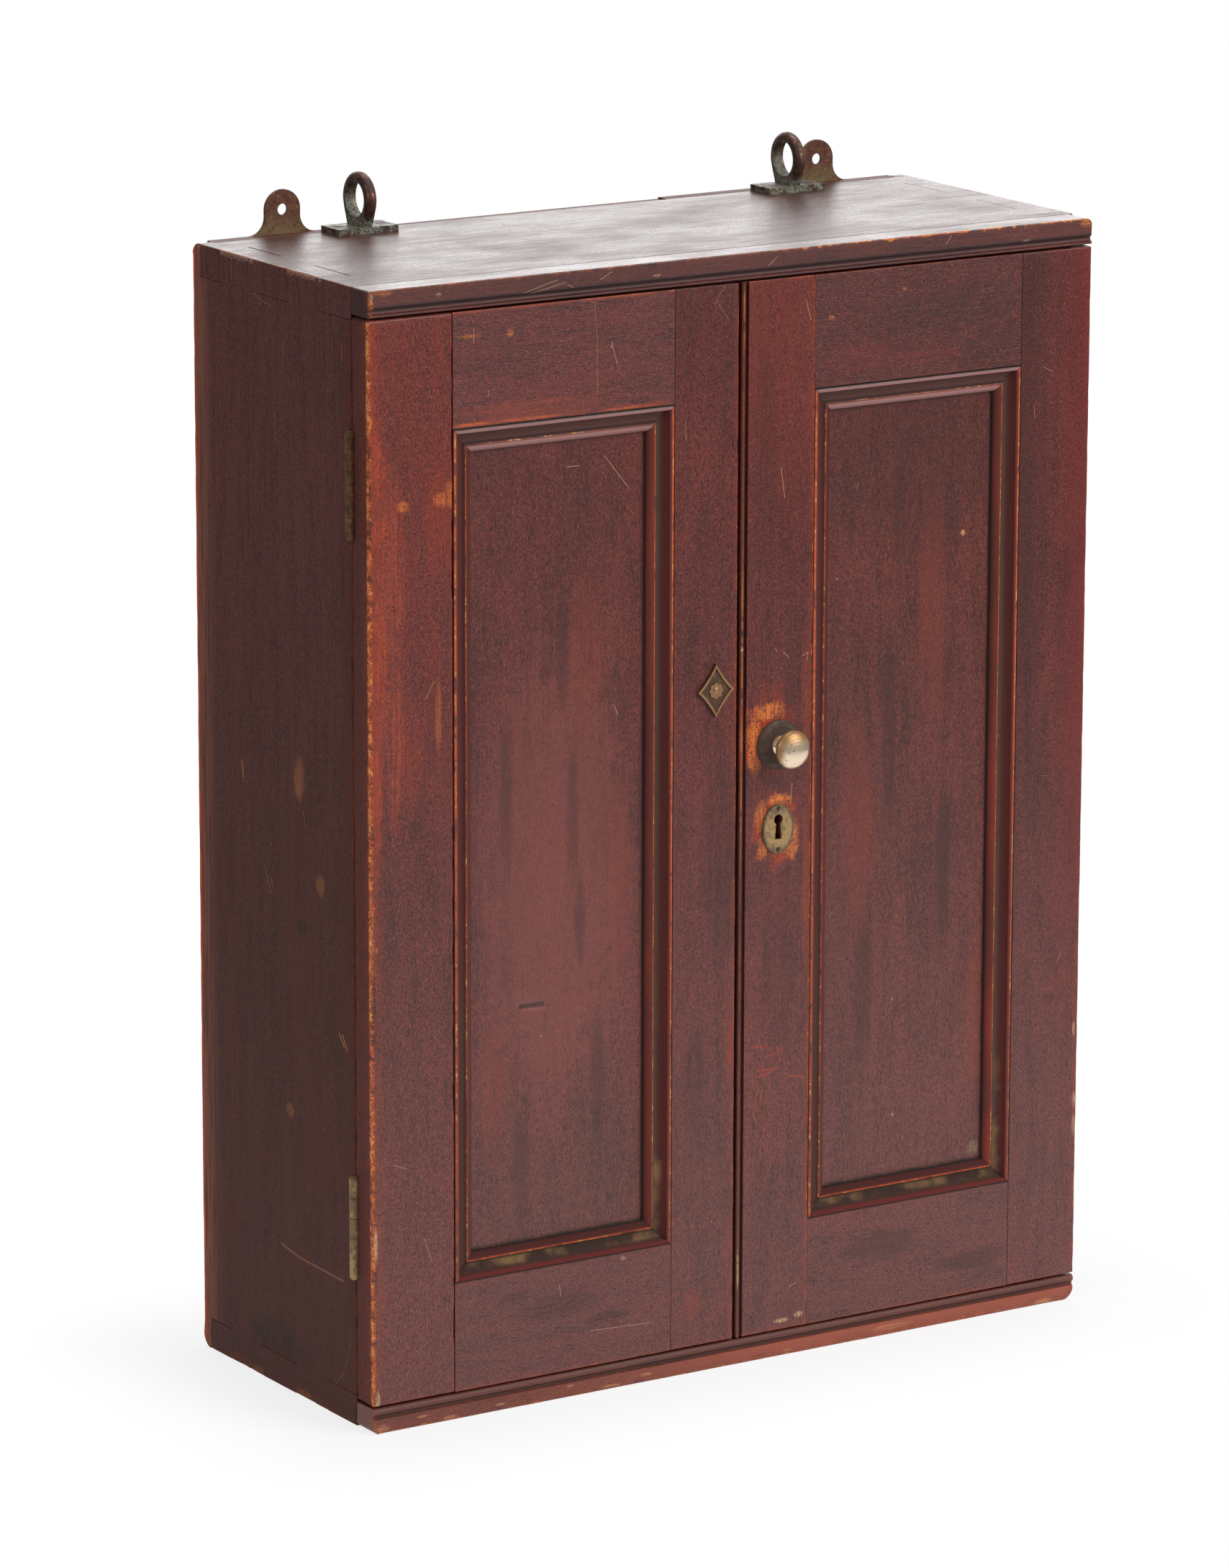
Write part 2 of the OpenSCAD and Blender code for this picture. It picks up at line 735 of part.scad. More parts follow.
// A rail between the inner edges x0 and x1; the panel lies on its side s
module rail(x0, x1, z0, z1, s) {
    edge = s > 0 ? z1 : z0;
    difference() {
        union() {
            block([x0, door_front, z0], [x1, door_back, z1]);
            block([x0 - tenon_l, tenon_y0, z0 + tenon_shoulder], [x1 + tenon_l, tenon_y1, z1 - tenon_shoulder]);
        }
        block([x0 - over, panel_front, min(edge - s * groove_d, edge + s * over)],
              [x1 + over, panel_back + seat_clear, max(edge - s * groove_d, edge + s * over)]);
    }
}

module panel(x0, x1) {
    block([x0 - panel_hold, panel_front, open_z0 - panel_hold],
          [x1 + panel_hold, panel_back, open_z1 + panel_hold]);
}

// Cross-section of the moulding: X away from the frame, Y away from the panel
module moulding_section() {
    r = moulding_bead_r;
    translate([r, moulding_h - r]) circle(r);
    square([2 * r, moulding_h - r]);
    difference() {
        polygon([[0, 0], [arris_point[0], 0], arris_point, step_point, [0, moulding_step_h]]);
        translate(cove_centre) circle(moulding_cove_r);
    }
    translate([arris_point[0], 0]) intersection() {
        circle(moulding_ovolo_r);
        square(moulding_ovolo_r);
    }
}

// One mitred length that lies along X, with its outer edge at Z = 0 and its back on the panel
module moulding_length(l) {
    half = l / 2 - mitre_gap / sqrt(2);
    intersection() {
        rotate([90, 0, 90]) linear_extrude(l, center = true)
            mirror([1, 0, 0]) rotate(-90) mirror([1, 0, 0]) moulding_section();
        rotate([90, 0, 0]) linear_extrude(4 * moulding_h, center = true)
            polygon([[-half, 0], [half, 0], [half - moulding_w, moulding_w], [moulding_w - half, moulding_w]]);
    }
}

module moulding(x0, x1) {
    w = x1 - x0;
    h = open_z1 - open_z0;
    translate([(x0 + x1) / 2, panel_front, (open_z0 + open_z1) / 2])
        for (k = [0 : 3])
            rotate([0, 90 * k, 0])
                translate([0, 0, (k % 2 == 0 ? -h : -w) / 2])
                    moulding_length(k % 2 == 0 ? w : h);
}

// Left door
module left_hinge_stile() {
    color(wood_front) difference() {
        stile(-half_w, left_open_x0);
        stile_cuts(left_open_x0, -1);
        for (z = [upper_hinge_z, lower_hinge_z]) at_left_hinge(z) hinge_pocket(-1);
    }
}

module left_meeting_stile() {
    color(wood_front) difference() {
        stile(left_open_x1, -meet_x);
        stile_cuts(left_open_x1, 1);
        lock_keeper_pocket();
        for (s = [1, -1]) at_bolt(s) bolt_screws_at() screw_hole(small_screw);
        ornament_pins(front_pin_r + screw_clear);
    }
}

module left_top_rail() { color(wood_front) rail(left_open_x0, left_open_x1, open_z1, door_z1, -1); }
module left_bottom_rail() { color(wood_front) rail(left_open_x0, left_open_x1, door_z0, open_z0, 1); }
module left_panel() { color(wood_panel) panel(left_open_x0, left_open_x1); }
module left_moulding() { color(wood_moulding) moulding(left_open_x0, left_open_x1); }

module left_door_screws() {
    color(steel) {
        for (z = [upper_hinge_z, lower_hinge_z]) at_left_hinge(z) leaf_screws_at(-1) screw(hinge_screw);
        for (s = [1, -1]) at_bolt(s) bolt_screws_at() screw(small_screw);
        lock_keeper_screws_at() screw(small_screw);
    }
}

// Right door
module right_hinge_stile() {
    color(wood_front) difference() {
        stile(right_open_x1, half_w);
        stile_cuts(right_open_x1, 1);
        for (z = [upper_hinge_z, lower_hinge_z]) at_right_hinge(z) hinge_pocket(-1);
    }
}

module right_meeting_stile() {
    r = edge_bead_r;
    color(wood_front) difference() {
        union() {
            difference() {
                stile(meet_x, right_open_x0);
                block([meet_x - over, door_front - over, door_z0 - over],
                      [meet_x + 2 * r, door_front + r, door_z1 + over]);
                block([meet_x + 2 * r, door_front - over, door_z0 - over],
                      [meet_x + 2 * r + edge_quirk_w, door_front + edge_quirk_d, door_z1 + over]);
            }
            translate([meet_x + r, door_front + r, door_z0]) cylinder(r = r, h = door_z1 - door_z0);
        }
        stile_cuts(right_open_x0, -1);
        lock_pocket();
        translate([key_x, door_front - over, knob_z])
            to_back() cylinder(r = spindle_r + running_clear, h = door_t + 2 * over);
        front_pins_at() front_pin(screw_clear);
    }
}

module right_top_rail() { color(wood_front) rail(right_open_x0, right_open_x1, open_z1, door_z1, -1); }
module right_bottom_rail() { color(wood_front) rail(right_open_x0, right_open_x1, door_z0, open_z0, 1); }
module right_panel() { color(wood_panel) panel(right_open_x0, right_open_x1); }
module right_moulding() { color(wood_moulding) moulding(right_open_x0, right_open_x1); }

module right_door_screws() {
    color(steel) {
        for (z = [upper_hinge_z, lower_hinge_z]) at_right_hinge(z) leaf_screws_at(-1) screw(hinge_screw);
        cap_screws_at() screw(small_screw);
    }
}

// Knob: a round head on a neck, with a spindle through the door and a tongue riveted to its end
module knob() {
    head = [for (a = [-60 : 10 : 90]) [knob_r * cos(a), knob_mid + knob_head_t / 2 * sin(a)]];
    color(brass_bright) translate([key_x, door_front, knob_z]) {
        to_front() rotate_extrude()
            polygon(concat([[0, rose_t], [knob_neck_r + 1.8, rose_t], [knob_neck_r + 1.6, rose_t + 1.2],
                            [knob_neck_r + 0.3, rose_t + 2.4], [knob_neck_r, rose_t + 4]], head));
        translate([0, spindle_end - door_front, 0]) to_front()
            cylinder(r = spindle_r, h = spindle_end - door_front + rose_t + over);
        translate([0, spindle_end - door_front, 0]) to_front() cylinder(r = rivet_r, h = 1.5);
    }
}

module turn_tongue() {
    color(brass_dark) translate([key_x, tongue_y0 + tongue_plate_t, knob_z]) to_front()
        linear_extrude(tongue_plate_t) difference() {
            union() {
                circle(tongue_hub_r);
                polygon([[-tongue_plate_w / 2, 0], [tongue_plate_w / 2, 0],
                         [tongue_plate_w / 2, tongue_l_total - 3], [tongue_plate_w / 2 - 3, tongue_l_total],
                         [3 - tongue_plate_w / 2, tongue_l_total], [-tongue_plate_w / 2, tongue_l_total - 3]]);
            }
            circle(spindle_r + seat_clear / 4);
        }
}

module knob_rose() {
    color(brass_dark) translate([key_x, door_front, knob_z]) difference() {
        to_front() rotate_extrude()
            polygon([[spindle_r + running_clear, 0], [rose_r, 0], [rose_r, rose_t * 0.4],
                     [rose_r - 1.4, rose_t * 0.8], [rose_r - 3.5, rose_t - seat_clear],
                     [spindle_r + running_clear, rose_t - seat_clear]]);
        for (s = [-1, 1])
            translate([0, over - rose_t, s * (rose_r - 3.5)]) to_front() front_pin(screw_clear);
    }
}

// Small round-headed pins that hold the keyhole plate and the rose; the head's underside is at Z = 0
module front_pin(c) {
    translate([0, 0, -front_pin_l - c]) cylinder(r = front_pin_r + c, h = front_pin_l + 2 * c);
    rotate_extrude()
        polygon([[0, 0], [front_pin_head_r + c, 0], [front_pin_head_r * 0.7 + c, 0.7 + c], [0, 1 + c]]);
}

module front_pins_at() {
    for (s = [-1, 1]) {
        translate([key_x, door_front - escutcheon_t, key_h + s * (escutcheon_h / 2 - 2.6)])
            to_front() children();
        translate([key_x, door_front + over - rose_t, knob_z + s * (rose_r - 3.5)]) to_front() children();
    }
}

module front_pins() { color(brass_bright) front_pins_at() front_pin(0); }

// Keyhole, upright in the X and Y plane with the middle of its plate at the origin
module keyhole() {
    translate([0, keyhole_round_up]) circle(keyhole_r);
    polygon([[-keyhole_slot_top_w / 2, keyhole_round_up], [keyhole_slot_top_w / 2, keyhole_round_up],
             [keyhole_slot_w / 2, -keyhole_slot_down], [-keyhole_slot_w / 2, -keyhole_slot_down]]);
}

module escutcheon() {
    rim = [for (a = [0 : 7.5 : 352.5]) [escutcheon_w / 2 * cos(a), escutcheon_h / 2 * sin(a)]];
    color(brass_bright) difference() {
        translate([key_x, door_front, key_h]) to_front() linear_extrude(escutcheon_t) difference() {
            polygon(rim);
            keyhole();
        }
        front_pins_at() front_pin(screw_clear);
    }
}

// Lock
module lock_pocket() {
    block([lock_x0 - over, lock_y0, lock_z0], [lock_x1, door_back + over, lock_z1]);
    block([lock_x0 - over, door_back - lock_sheet_t, lock_z0 - cap_margin],
          [cap_x1, door_back + over, lock_z1 + cap_margin]);
    block([lock_x0 - over, lock_y0, lock_z0 - cap_margin],
          [lock_x0 + lock_sheet_t, door_back, lock_z1 + cap_margin]);
    translate([key_x, door_back, key_h]) to_front() linear_extrude(door_t + over) keyhole();
    cap_screws_at() screw_hole(small_screw);
}

module lock_case() {
    s = lock_sheet_t;
    half_h = lock_bolt_h / 2 + slide_clear;
    half_t = lock_bolt_t / 2 + slide_clear;
    color(steel) {
        difference() {
            union() {
                block([lock_x0, lock_y0, lock_z0], [lock_x1, lock_y1, lock_z1]);
                block([lock_x0, lock_y0, lock_z0 - cap_margin], [lock_x0 + s, lock_y1, lock_z1 + cap_margin]);
            }
            block([lock_x0 + s, lock_y0 + s, lock_z0 + s], [lock_x1 - s, lock_y1 + over, lock_z1 - s]);
            block([lock_x0 - over, lock_bolt_yc - half_t, lock_bolt_zc - half_h],
                  [lock_x0 + s + over, lock_bolt_yc + half_t, lock_bolt_zc + half_h]);
            translate([key_x, lock_y0 + s + over, key_h]) to_front() linear_extrude(s + 2 * over) keyhole();
        }
        translate([stud_x, lock_y1, lock_bolt_zc]) to_front()
            cylinder(r = stud_r, h = lock_y1 - lock_y0 - s / 2);
    }
}

module cap_screws_at() {
    for (x = [cap_screw_x0, cap_screw_x1])
        for (z = [lock_z0 - cap_screw_z, lock_z1 + cap_screw_z])
            translate([x, door_back, z]) to_back() children();
}

module lock_cap() {
    color(steel) difference() {
        block([lock_x0, lock_y1, lock_z0 - cap_margin], [cap_x1, door_back, lock_z1 + cap_margin]);
        cap_screws_at() screw_hole(small_screw);
    }
}

module lock_bolt() {
    z0 = lock_bolt_zc - lock_bolt_h / 2;
    y0 = lock_bolt_yc - lock_bolt_t / 2;
    color(brass_bright) difference() {
        block([lock_x0, y0, z0], [lock_x0 + lock_bolt_l, y0 + lock_bolt_t, z0 + lock_bolt_h]);
        for (x = [stud_x, stud_x + lock_throw])
            translate([x, y0 - over, lock_bolt_zc]) to_back()
                cylinder(r = stud_r + slide_clear, h = lock_bolt_t + 2 * over);
        block([stud_x, y0 - over, lock_bolt_zc - stud_r - slide_clear],
              [stud_x + lock_throw, y0 + lock_bolt_t + over, lock_bolt_zc + stud_r + slide_clear]);
        block([key_x - talon_w / 2, y0 - over, z0 - over],
              [key_x + talon_w / 2, y0 + lock_bolt_t + over, z0 + talon_h]);
    }
}

// A bowed flat spring between the top of the lock case and the bolt
module lock_spring() {
    high = lock_z1 - lock_sheet_t - lock_bolt_zc - lock_bolt_h / 2 - 2 * slide_clear;
    bow_r = (pow(spring_span / 2, 2) + pow(high, 2)) / (2 * high);
    color(steel)
        translate([spring_x, lock_bolt_yc + lock_bolt_t / 2 - 0.5, lock_z1 - lock_sheet_t - slide_clear - bow_r])
            to_front() linear_extrude(lock_bolt_t - 1) intersection() {
                difference() {
                    circle(bow_r);
                    circle(bow_r - spring_t);
                }
                translate([-spring_span / 2, bow_r - high]) square([spring_span, high + over]);
            }
}

module lock_keeper_screws_at() {
    for (s = [-1, 1])
        translate([-meet_x, lock_bolt_yc, lock_bolt_zc + s * lock_keeper_screw_z])
            rotate([0, 90, 0]) children();
}

module lock_mortise(x1, deep) {
    half_h = lock_bolt_h / 2 + mortise_room;
    half_t = lock_bolt_t / 2 + mortise_room;
    block([-meet_x - deep, lock_bolt_yc - half_t, lock_bolt_zc - half_h],
          [x1, lock_bolt_yc + half_t, lock_bolt_zc + half_h]);
}

module lock_keeper_plate(x1) {
    block([-meet_x - lock_sheet_t, lock_y0, lock_bolt_zc - lock_keeper_half_h],
          [x1, door_back, lock_bolt_zc + lock_keeper_half_h]);
}

module lock_keeper_pocket() {
    lock_keeper_plate(over);
    lock_mortise(over, lock_mortise_deep);
    lock_keeper_screws_at() screw_hole(small_screw);
}

module lock_keeper() {
    color(brass_dark) difference() {
        lock_keeper_plate(-meet_x);
        lock_mortise(over, lock_mortise_deep);
        lock_keeper_screws_at() screw_hole(small_screw);
    }
}

// Inside bolts: the board's face is at Z = 0 and the back of the door at Y = 0; s = 1 is the upper one
module at_bolt(s) {
    translate([bolt_x, door_back, s > 0 ? inside_z1 : inside_z0]) mirror([0, 0, s > 0 ? 0 : 1]) children();
}

module bolt_screws_at() {
    for (x = [-bolt_screw_x, bolt_screw_x])
        for (z = [bolt_screw_inset, bolt_plate_h - bolt_screw_inset])
            translate([x, bolt_plate_t, -bolt_plate_gap - z]) to_back() children();
}

module bolt_plate() {
    half = bolt_w / 2 + slide_clear;
    guide_y = bolt_y1 + slide_clear;
    difference() {
        union() {
            block([-bolt_plate_half_w, 0, -bolt_plate_gap - bolt_plate_h],
                  [bolt_plate_half_w, bolt_plate_t, -bolt_plate_gap]);
            block([-bolt_w / 2, 0, -bolt_plate_gap - bolt_plate_h], [bolt_w / 2, bolt_bed, -bolt_plate_gap]);
            for (z = [bolt_lower_guide_z, bolt_upper_guide_z])
                difference() {
                    block([-half - bolt_guide_wall, 0, z],
                          [half + bolt_guide_wall, guide_y + bolt_guide_wall, z + bolt_guide_h]);
                    block([-half, bolt_bed, z - over], [half, guide_y, z + bolt_guide_h + over]);
                }
        }
        bolt_screws_at() screw_hole(small_screw);
    }
}

module bolt_rod() {
    block([-bolt_w / 2, bolt_y0, -bolt_clear - bolt_l], [bolt_w / 2, bolt_y1, -bolt_clear]);
    translate([0, bolt_y1 - over, bolt_thumb_z]) to_back() cylinder(r = bolt_thumb_r, h = bolt_thumb_l + over);
}

module upper_bolt_plate() { color(brass_dark) at_bolt(1) bolt_plate(); }
module lower_bolt_plate() { color(brass_dark) at_bolt(-1) bolt_plate(); }
module upper_bolt() { color(brass_bright) at_bolt(1) bolt_rod(); }
module lower_bolt() { color(brass_bright) at_bolt(-1) bolt_rod(); }

module bolt_mortise(deep) {
    half = bolt_w / 2 + mortise_room;
    block([-half, bolt_y0 - mortise_room, -over], [half, bolt_y1 + mortise_room, deep]);
}

module keeper_screws_at() {
    for (x = [-keeper_screw_x, keeper_screw_x])
        translate([x, (bolt_y0 + bolt_y1) / 2, 0]) to_down() children();
}

module keeper_pocket() {
    block([-keeper_half_w, keeper_y0 - over, -over], [keeper_half_w, keeper_y1, keeper_t]);
    bolt_mortise(mortise_deep);
    keeper_screws_at() screw_hole(small_screw);
}

module bolt_keepers() {
    color(brass_dark)
        for (s = [1, -1])
            at_bolt(s) difference() {
                block([-keeper_half_w, keeper_y0, 0], [keeper_half_w, keeper_y1, keeper_t]);
                bolt_mortise(mortise_deep);
                keeper_screws_at() screw_hole(small_screw);
            }
}

// Ring plates: a cast ring that stands on a plate, with its hole along X
module ring_plate() {
    difference() {
        union() {
            block([-ring_plate_l / 2, -ring_plate_w / 2, 0], [ring_plate_l / 2, ring_plate_w / 2, ring_plate_t]);
            translate([0, 0, ring_rise]) rotate([0, 90, 0]) rotate_extrude() {
                translate([ring_hole_r, -ring_w / 2]) square([ring_web, ring_w]);
                translate([ring_hole_r + ring_web, 0]) intersection() {
                    circle(ring_w / 2);
                    translate([0, -ring_w]) square(2 * ring_w);
                }
            }
            translate([-ring_w / 2, 0, 0]) rotate([90, 0, 90]) linear_extrude(ring_w)
                polygon([[-ring_foot / 2, ring_plate_t / 2], [ring_foot / 2, ring_plate_t / 2],
                         [ring_hole_r + ring_web, ring_rise - ring_hole_r / 2],
                         [-ring_hole_r - ring_web, ring_rise - ring_hole_r / 2]]);
        }
        translate([-ring_plate_l, 0, ring_rise]) rotate([0, 90, 0]) cylinder(r = ring_hole_r, h = 2 * ring_plate_l);
        for (s = [-1, 1]) translate([s * ring_screw_x, 0, ring_plate_t]) screw_hole(ring_screw);
    }
}

module ring_screws_at() {
    for (x = [ring_left_x, ring_right_x])
        for (s = [-1, 1])
            translate([x + s * ring_screw_x, ring_y, cabinet_h + ring_plate_t]) children();
}

module ring_plate_left() { color(brass_dark) translate([ring_left_x, ring_y, cabinet_h]) ring_plate(); }
module ring_plate_right() { color(brass_dark) translate([ring_right_x, ring_y, cabinet_h]) ring_plate(); }

// Hanging plates: outlines in X and Y with the top of the case at Y = 0
module hanging_head() {
    difference() {
        union() {
            translate([0, hang_hole_rise]) circle(hang_top_r);
            translate([-hang_top_r, 0]) square([2 * hang_top_r, hang_hole_rise]);
            translate([-hang_half_w, -over]) square([2 * hang_half_w, hang_flare_r + over]);
        }
        for (s = [-1, 1]) translate([s * hang_half_w, hang_flare_r]) circle(hang_flare_r);
        translate([0, hang_hole_rise]) circle(hang_hole_r);
    }
}

module hanging_tail(top) {
    w = hang_tail_half_w;
    polygon([[-w, top], [w, top], [w, hang_corner - hang_tail_h], [w - hang_corner, -hang_tail_h],
             [hang_corner - w, -hang_tail_h], [-w, hang_corner - hang_tail_h]]);
}

// The sinking that the tails take in the back
module hanging_pockets() {
    for (x = [hang_left_x, hang_right_x])
        translate([x, case_back + over, cabinet_h]) to_front() linear_extrude(hang_t + over) hanging_tail(over);
    hang_screws_at() screw_hole(hang_screw);
    hang_short_screws_at() screw_hole(hang_short_screw);
}

module hang_screws_at() {
    for (x = [hang_left_x, hang_right_x])
        for (s = [-1, 1])
            translate([x + s * hang_screw_x, case_back, cabinet_h - hang_screw_drop]) to_back() children();
}

module hang_short_screws_at() {
    for (x = [hang_left_x, hang_right_x])
        translate([x, case_back, cabinet_h - hang_tail_h + hang_low_screw_up]) to_back() children();
}

module hanging_plate(x) {
    difference() {
        translate([x, case_back, cabinet_h]) to_front() union() {
            linear_extrude(hang_t) hanging_head();
            linear_extrude(hang_t) hanging_tail(0);
        }
        hang_screws_at() screw_hole(hang_screw);
        hang_short_screws_at() screw_hole(hang_short_screw);
    }
}

module hanging_plate_left() { color(brass_dark) hanging_plate(hang_left_x); }
module hanging_plate_right() { color(brass_dark) hanging_plate(hang_right_x); }

module plate_screws() {
    color(brass_dark) {
        ring_screws_at() screw(ring_screw);
        hang_screws_at() screw(hang_screw);
        hang_short_screws_at() screw(hang_short_screw);
        for (s = [1, -1]) at_bolt(s) keeper_screws_at() screw(small_screw);
    }
}

// Ornament: an upright lozenge with hollow sides, a raised rim and a round flower in the middle
function lozenge(w, h) =
    [for (q = [0 : 3]) for (a = [0 : 15 : 75])
        let (sx = (q == 0 || q == 3) ? 1 : -1, sy = q < 2 ? 1 : -1, b = q % 2 == 0 ? a : 90 - a,
             c = (1 - sin(b)) * lozenge_hollow + cos(b) * (1 - lozenge_hollow),
             d = (1 - cos(b)) * lozenge_hollow + sin(b) * (1 - lozenge_hollow))
        [sx * w / 2 * c, sy * h / 2 * d]];

module ornament_pins(r) {
    for (s = [-1, 1])
        translate([ornament_x, door_front - ornament_plate_t / 2, ornament_up + s * ornament_pin_z])
            to_back() cylinder(r = r, h = front_pin_l);
}

module ornament() {
    inner_w = ornament_w - 2 * ornament_rim_w;
    inner_h = ornament_h - 2 * ornament_rim_w;
    color(brass_bright) {
        translate([ornament_x, door_front, ornament_up]) to_front() {
            linear_extrude(ornament_plate_t) polygon(lozenge(ornament_w, ornament_h));
            linear_extrude(ornament_plate_t + ornament_rim_t) difference() {
                polygon(lozenge(ornament_w, ornament_h));
                polygon(lozenge(inner_w, inner_h));
            }
            for (i = [0 : petals - 1])
                rotate(i * 360 / petals) translate([petal_out, 0, 0])
                    cylinder(r = petal_r, h = ornament_plate_t + 0.7);
            rotate_extrude()
                polygon([[0, 0], [boss_r, 0], [boss_r, ornament_plate_t + 0.9],
                         [boss_r - 0.7, ornament_plate_t + 1.4], [0, ornament_plate_t + 1.6]]);
        }
        ornament_pins(front_pin_r);
    }
}

side_left();
side_right();
top_board();
bottom_board();
back_board_left();
back_board_middle();
back_board_right();
back_screws();
front_strip_top();
front_strip_bottom();
shelf_lower();
shelf_middle();
shelf_upper();
hanging_plate_left();
hanging_plate_right();
ring_plate_left();
ring_plate_right();
plate_screws();
case_leaf_left_upper();
case_leaf_left_lower();
case_leaf_right_upper();
case_leaf_right_lower();
hinge_pins();
case_hinge_screws();
bolt_keepers();
left_hinge_stile();
left_meeting_stile();
left_top_rail();
left_bottom_rail();
left_panel();
left_moulding();
left_leaf_upper();
left_leaf_lower();
left_door_screws();
ornament();
upper_bolt_plate();
lower_bolt_plate();
upper_bolt();
lower_bolt();
lock_keeper();
right_hinge_stile();
right_meeting_stile();
right_top_rail();
right_bottom_rail();
right_panel();
right_moulding();
right_leaf_upper();
right_leaf_lower();
right_door_screws();
knob_rose();
escutcheon();
front_pins();
lock_case();
lock_cap();
lock_spring();
lock_bolt();
knob();
turn_tongue();
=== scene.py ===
"""The looks of the wall cabinet: worn varnished wood, old brass and iron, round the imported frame."""

import json
import math

import bmesh
import bpy
from mathutils import Matrix, Vector, noise

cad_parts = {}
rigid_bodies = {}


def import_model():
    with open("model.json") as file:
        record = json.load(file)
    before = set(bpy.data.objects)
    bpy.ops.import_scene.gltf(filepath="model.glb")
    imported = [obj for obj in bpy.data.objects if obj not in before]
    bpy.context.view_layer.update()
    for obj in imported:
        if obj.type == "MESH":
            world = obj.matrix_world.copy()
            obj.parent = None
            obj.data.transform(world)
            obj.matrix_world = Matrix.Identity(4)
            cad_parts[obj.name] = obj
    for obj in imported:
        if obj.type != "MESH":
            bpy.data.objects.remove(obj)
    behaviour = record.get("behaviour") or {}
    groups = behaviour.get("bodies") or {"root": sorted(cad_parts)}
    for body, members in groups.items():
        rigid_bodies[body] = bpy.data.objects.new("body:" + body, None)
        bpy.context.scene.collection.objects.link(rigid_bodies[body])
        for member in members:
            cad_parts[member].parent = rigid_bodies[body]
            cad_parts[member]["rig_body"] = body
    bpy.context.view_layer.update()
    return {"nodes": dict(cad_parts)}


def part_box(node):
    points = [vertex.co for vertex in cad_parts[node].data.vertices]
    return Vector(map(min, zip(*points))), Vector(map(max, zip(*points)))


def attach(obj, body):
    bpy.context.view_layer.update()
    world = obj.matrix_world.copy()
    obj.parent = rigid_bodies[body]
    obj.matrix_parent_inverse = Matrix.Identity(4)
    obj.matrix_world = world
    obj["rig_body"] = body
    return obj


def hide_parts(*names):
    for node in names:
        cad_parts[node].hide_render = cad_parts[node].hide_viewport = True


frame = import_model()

NODES = frame["nodes"]
MM = 0.001
X, Y, Z = 0, 1, 2

# The lowest front corner of the case, and half its width, its back and its top, in metres
CASE_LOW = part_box("front_strip_bottom")[0]
SIDE, BACK, TOP = 0.26, 0.105, 0.7

# The width of the doors' mouldings, and the inner faces of the case's sides, in millimetres
MOULDING = 16
INSIDE = 240.0

# Places in millimetres: the rings' centre seen from the side, the knob's and the keyhole plate's centres
RING_Y, RING_Z = 86.0, 720.5
KNOB_X, KNOB_Z, KEY_Z = 29.2, 393.5, 340.5

# Flanks of the dovetails on the top face, in millimetres
TAILS = (20.0, 61.0, -50.5, -9.5)


def rgb(text):
    """A linear colour from six hexadecimal digits of sRGB."""
    parts = [int(text[i:i + 2], 16) / 255 for i in (0, 2, 4)]
    return tuple(c / 12.92 if c <= 0.04045 else ((c + 0.055) / 1.055) ** 2.4 for c in parts) + (1.0,)


# Materials


class Graph:
    """Short names for building a node tree."""

    def __init__(self, tree):
        self.tree = tree
        tree.nodes.clear()

    def node(self, kind, **settings):
        made = self.tree.nodes.new(kind)
        for key, value in settings.items():
            setattr(made, key, value)
        return made

    def put(self, socket, value):
        """Links a socket to another, or sets its value; text is a colour."""
        if isinstance(value, bpy.types.NodeSocket):
            self.tree.links.new(value, socket)
        else:
            socket.default_value = rgb(value) if isinstance(value, str) else value

    def math(self, operation, *values, clamp=False):
        made = self.node("ShaderNodeMath", operation=operation, use_clamp=clamp)
        for socket, value in zip(made.inputs, values):
            self.put(socket, value)
        return made.outputs[0]

    def chain(self, operation, values):
        """The values one after the other; a tuple (value, low, high) stands for its smooth rise."""
        values = [self.smooth(*v) if isinstance(v, tuple) else v for v in values]
        total = values[0]
        for value in values[1:]:
            total = self.math(operation, total, value)
        return total

    def add(self, *values):
        return self.chain("ADD", values)

    def less(self, *values):
        return self.chain("SUBTRACT", values)

    def times(self, *values):
        return self.chain("MULTIPLY", values)

    def least(self, *values):
        return self.chain("MINIMUM", values)

    def most(self, *values):
        return self.chain("MAXIMUM", values)

    def off(self, value, middle):
        """How far a value lies from a middle."""
        return self.math("ABSOLUTE", self.less(value, middle))

    def vector(self, operation, a, b=None, scale=None):
        made = self.node("ShaderNodeVectorMath", operation=operation)
        self.put(made.inputs[0], a)
        if b is not None:
            self.put(made.inputs[1], b)
        if scale is not None:
            self.put(made.inputs["Scale"], scale)
        return made.outputs["Value"] if operation in ("LENGTH", "DISTANCE", "DOT_PRODUCT") else made.outputs[0]

    def smooth(self, value, low, high):
        """0 at low, 1 at high, and a smooth rise between; low may be the larger."""
        made = self.node("ShaderNodeMapRange", interpolation_type="SMOOTHSTEP")
        flip = low > high
        for socket, v in zip(made.inputs, (value, min(low, high), max(low, high), float(flip), float(not flip))):
            self.put(socket, v)
        return made.outputs[0]

    def blend(self, share, a, b):
        made = self.node("ShaderNodeMix", data_type="RGBA", clamp_factor=True)
        self.put(made.inputs["Factor"], share)
        self.put(made.inputs["A"], a)
        self.put(made.inputs["B"], b)
        return made.outputs["Result"]

    def attribute(self, name):
        return self.node("ShaderNodeAttribute", attribute_name=name).outputs["Fac"]


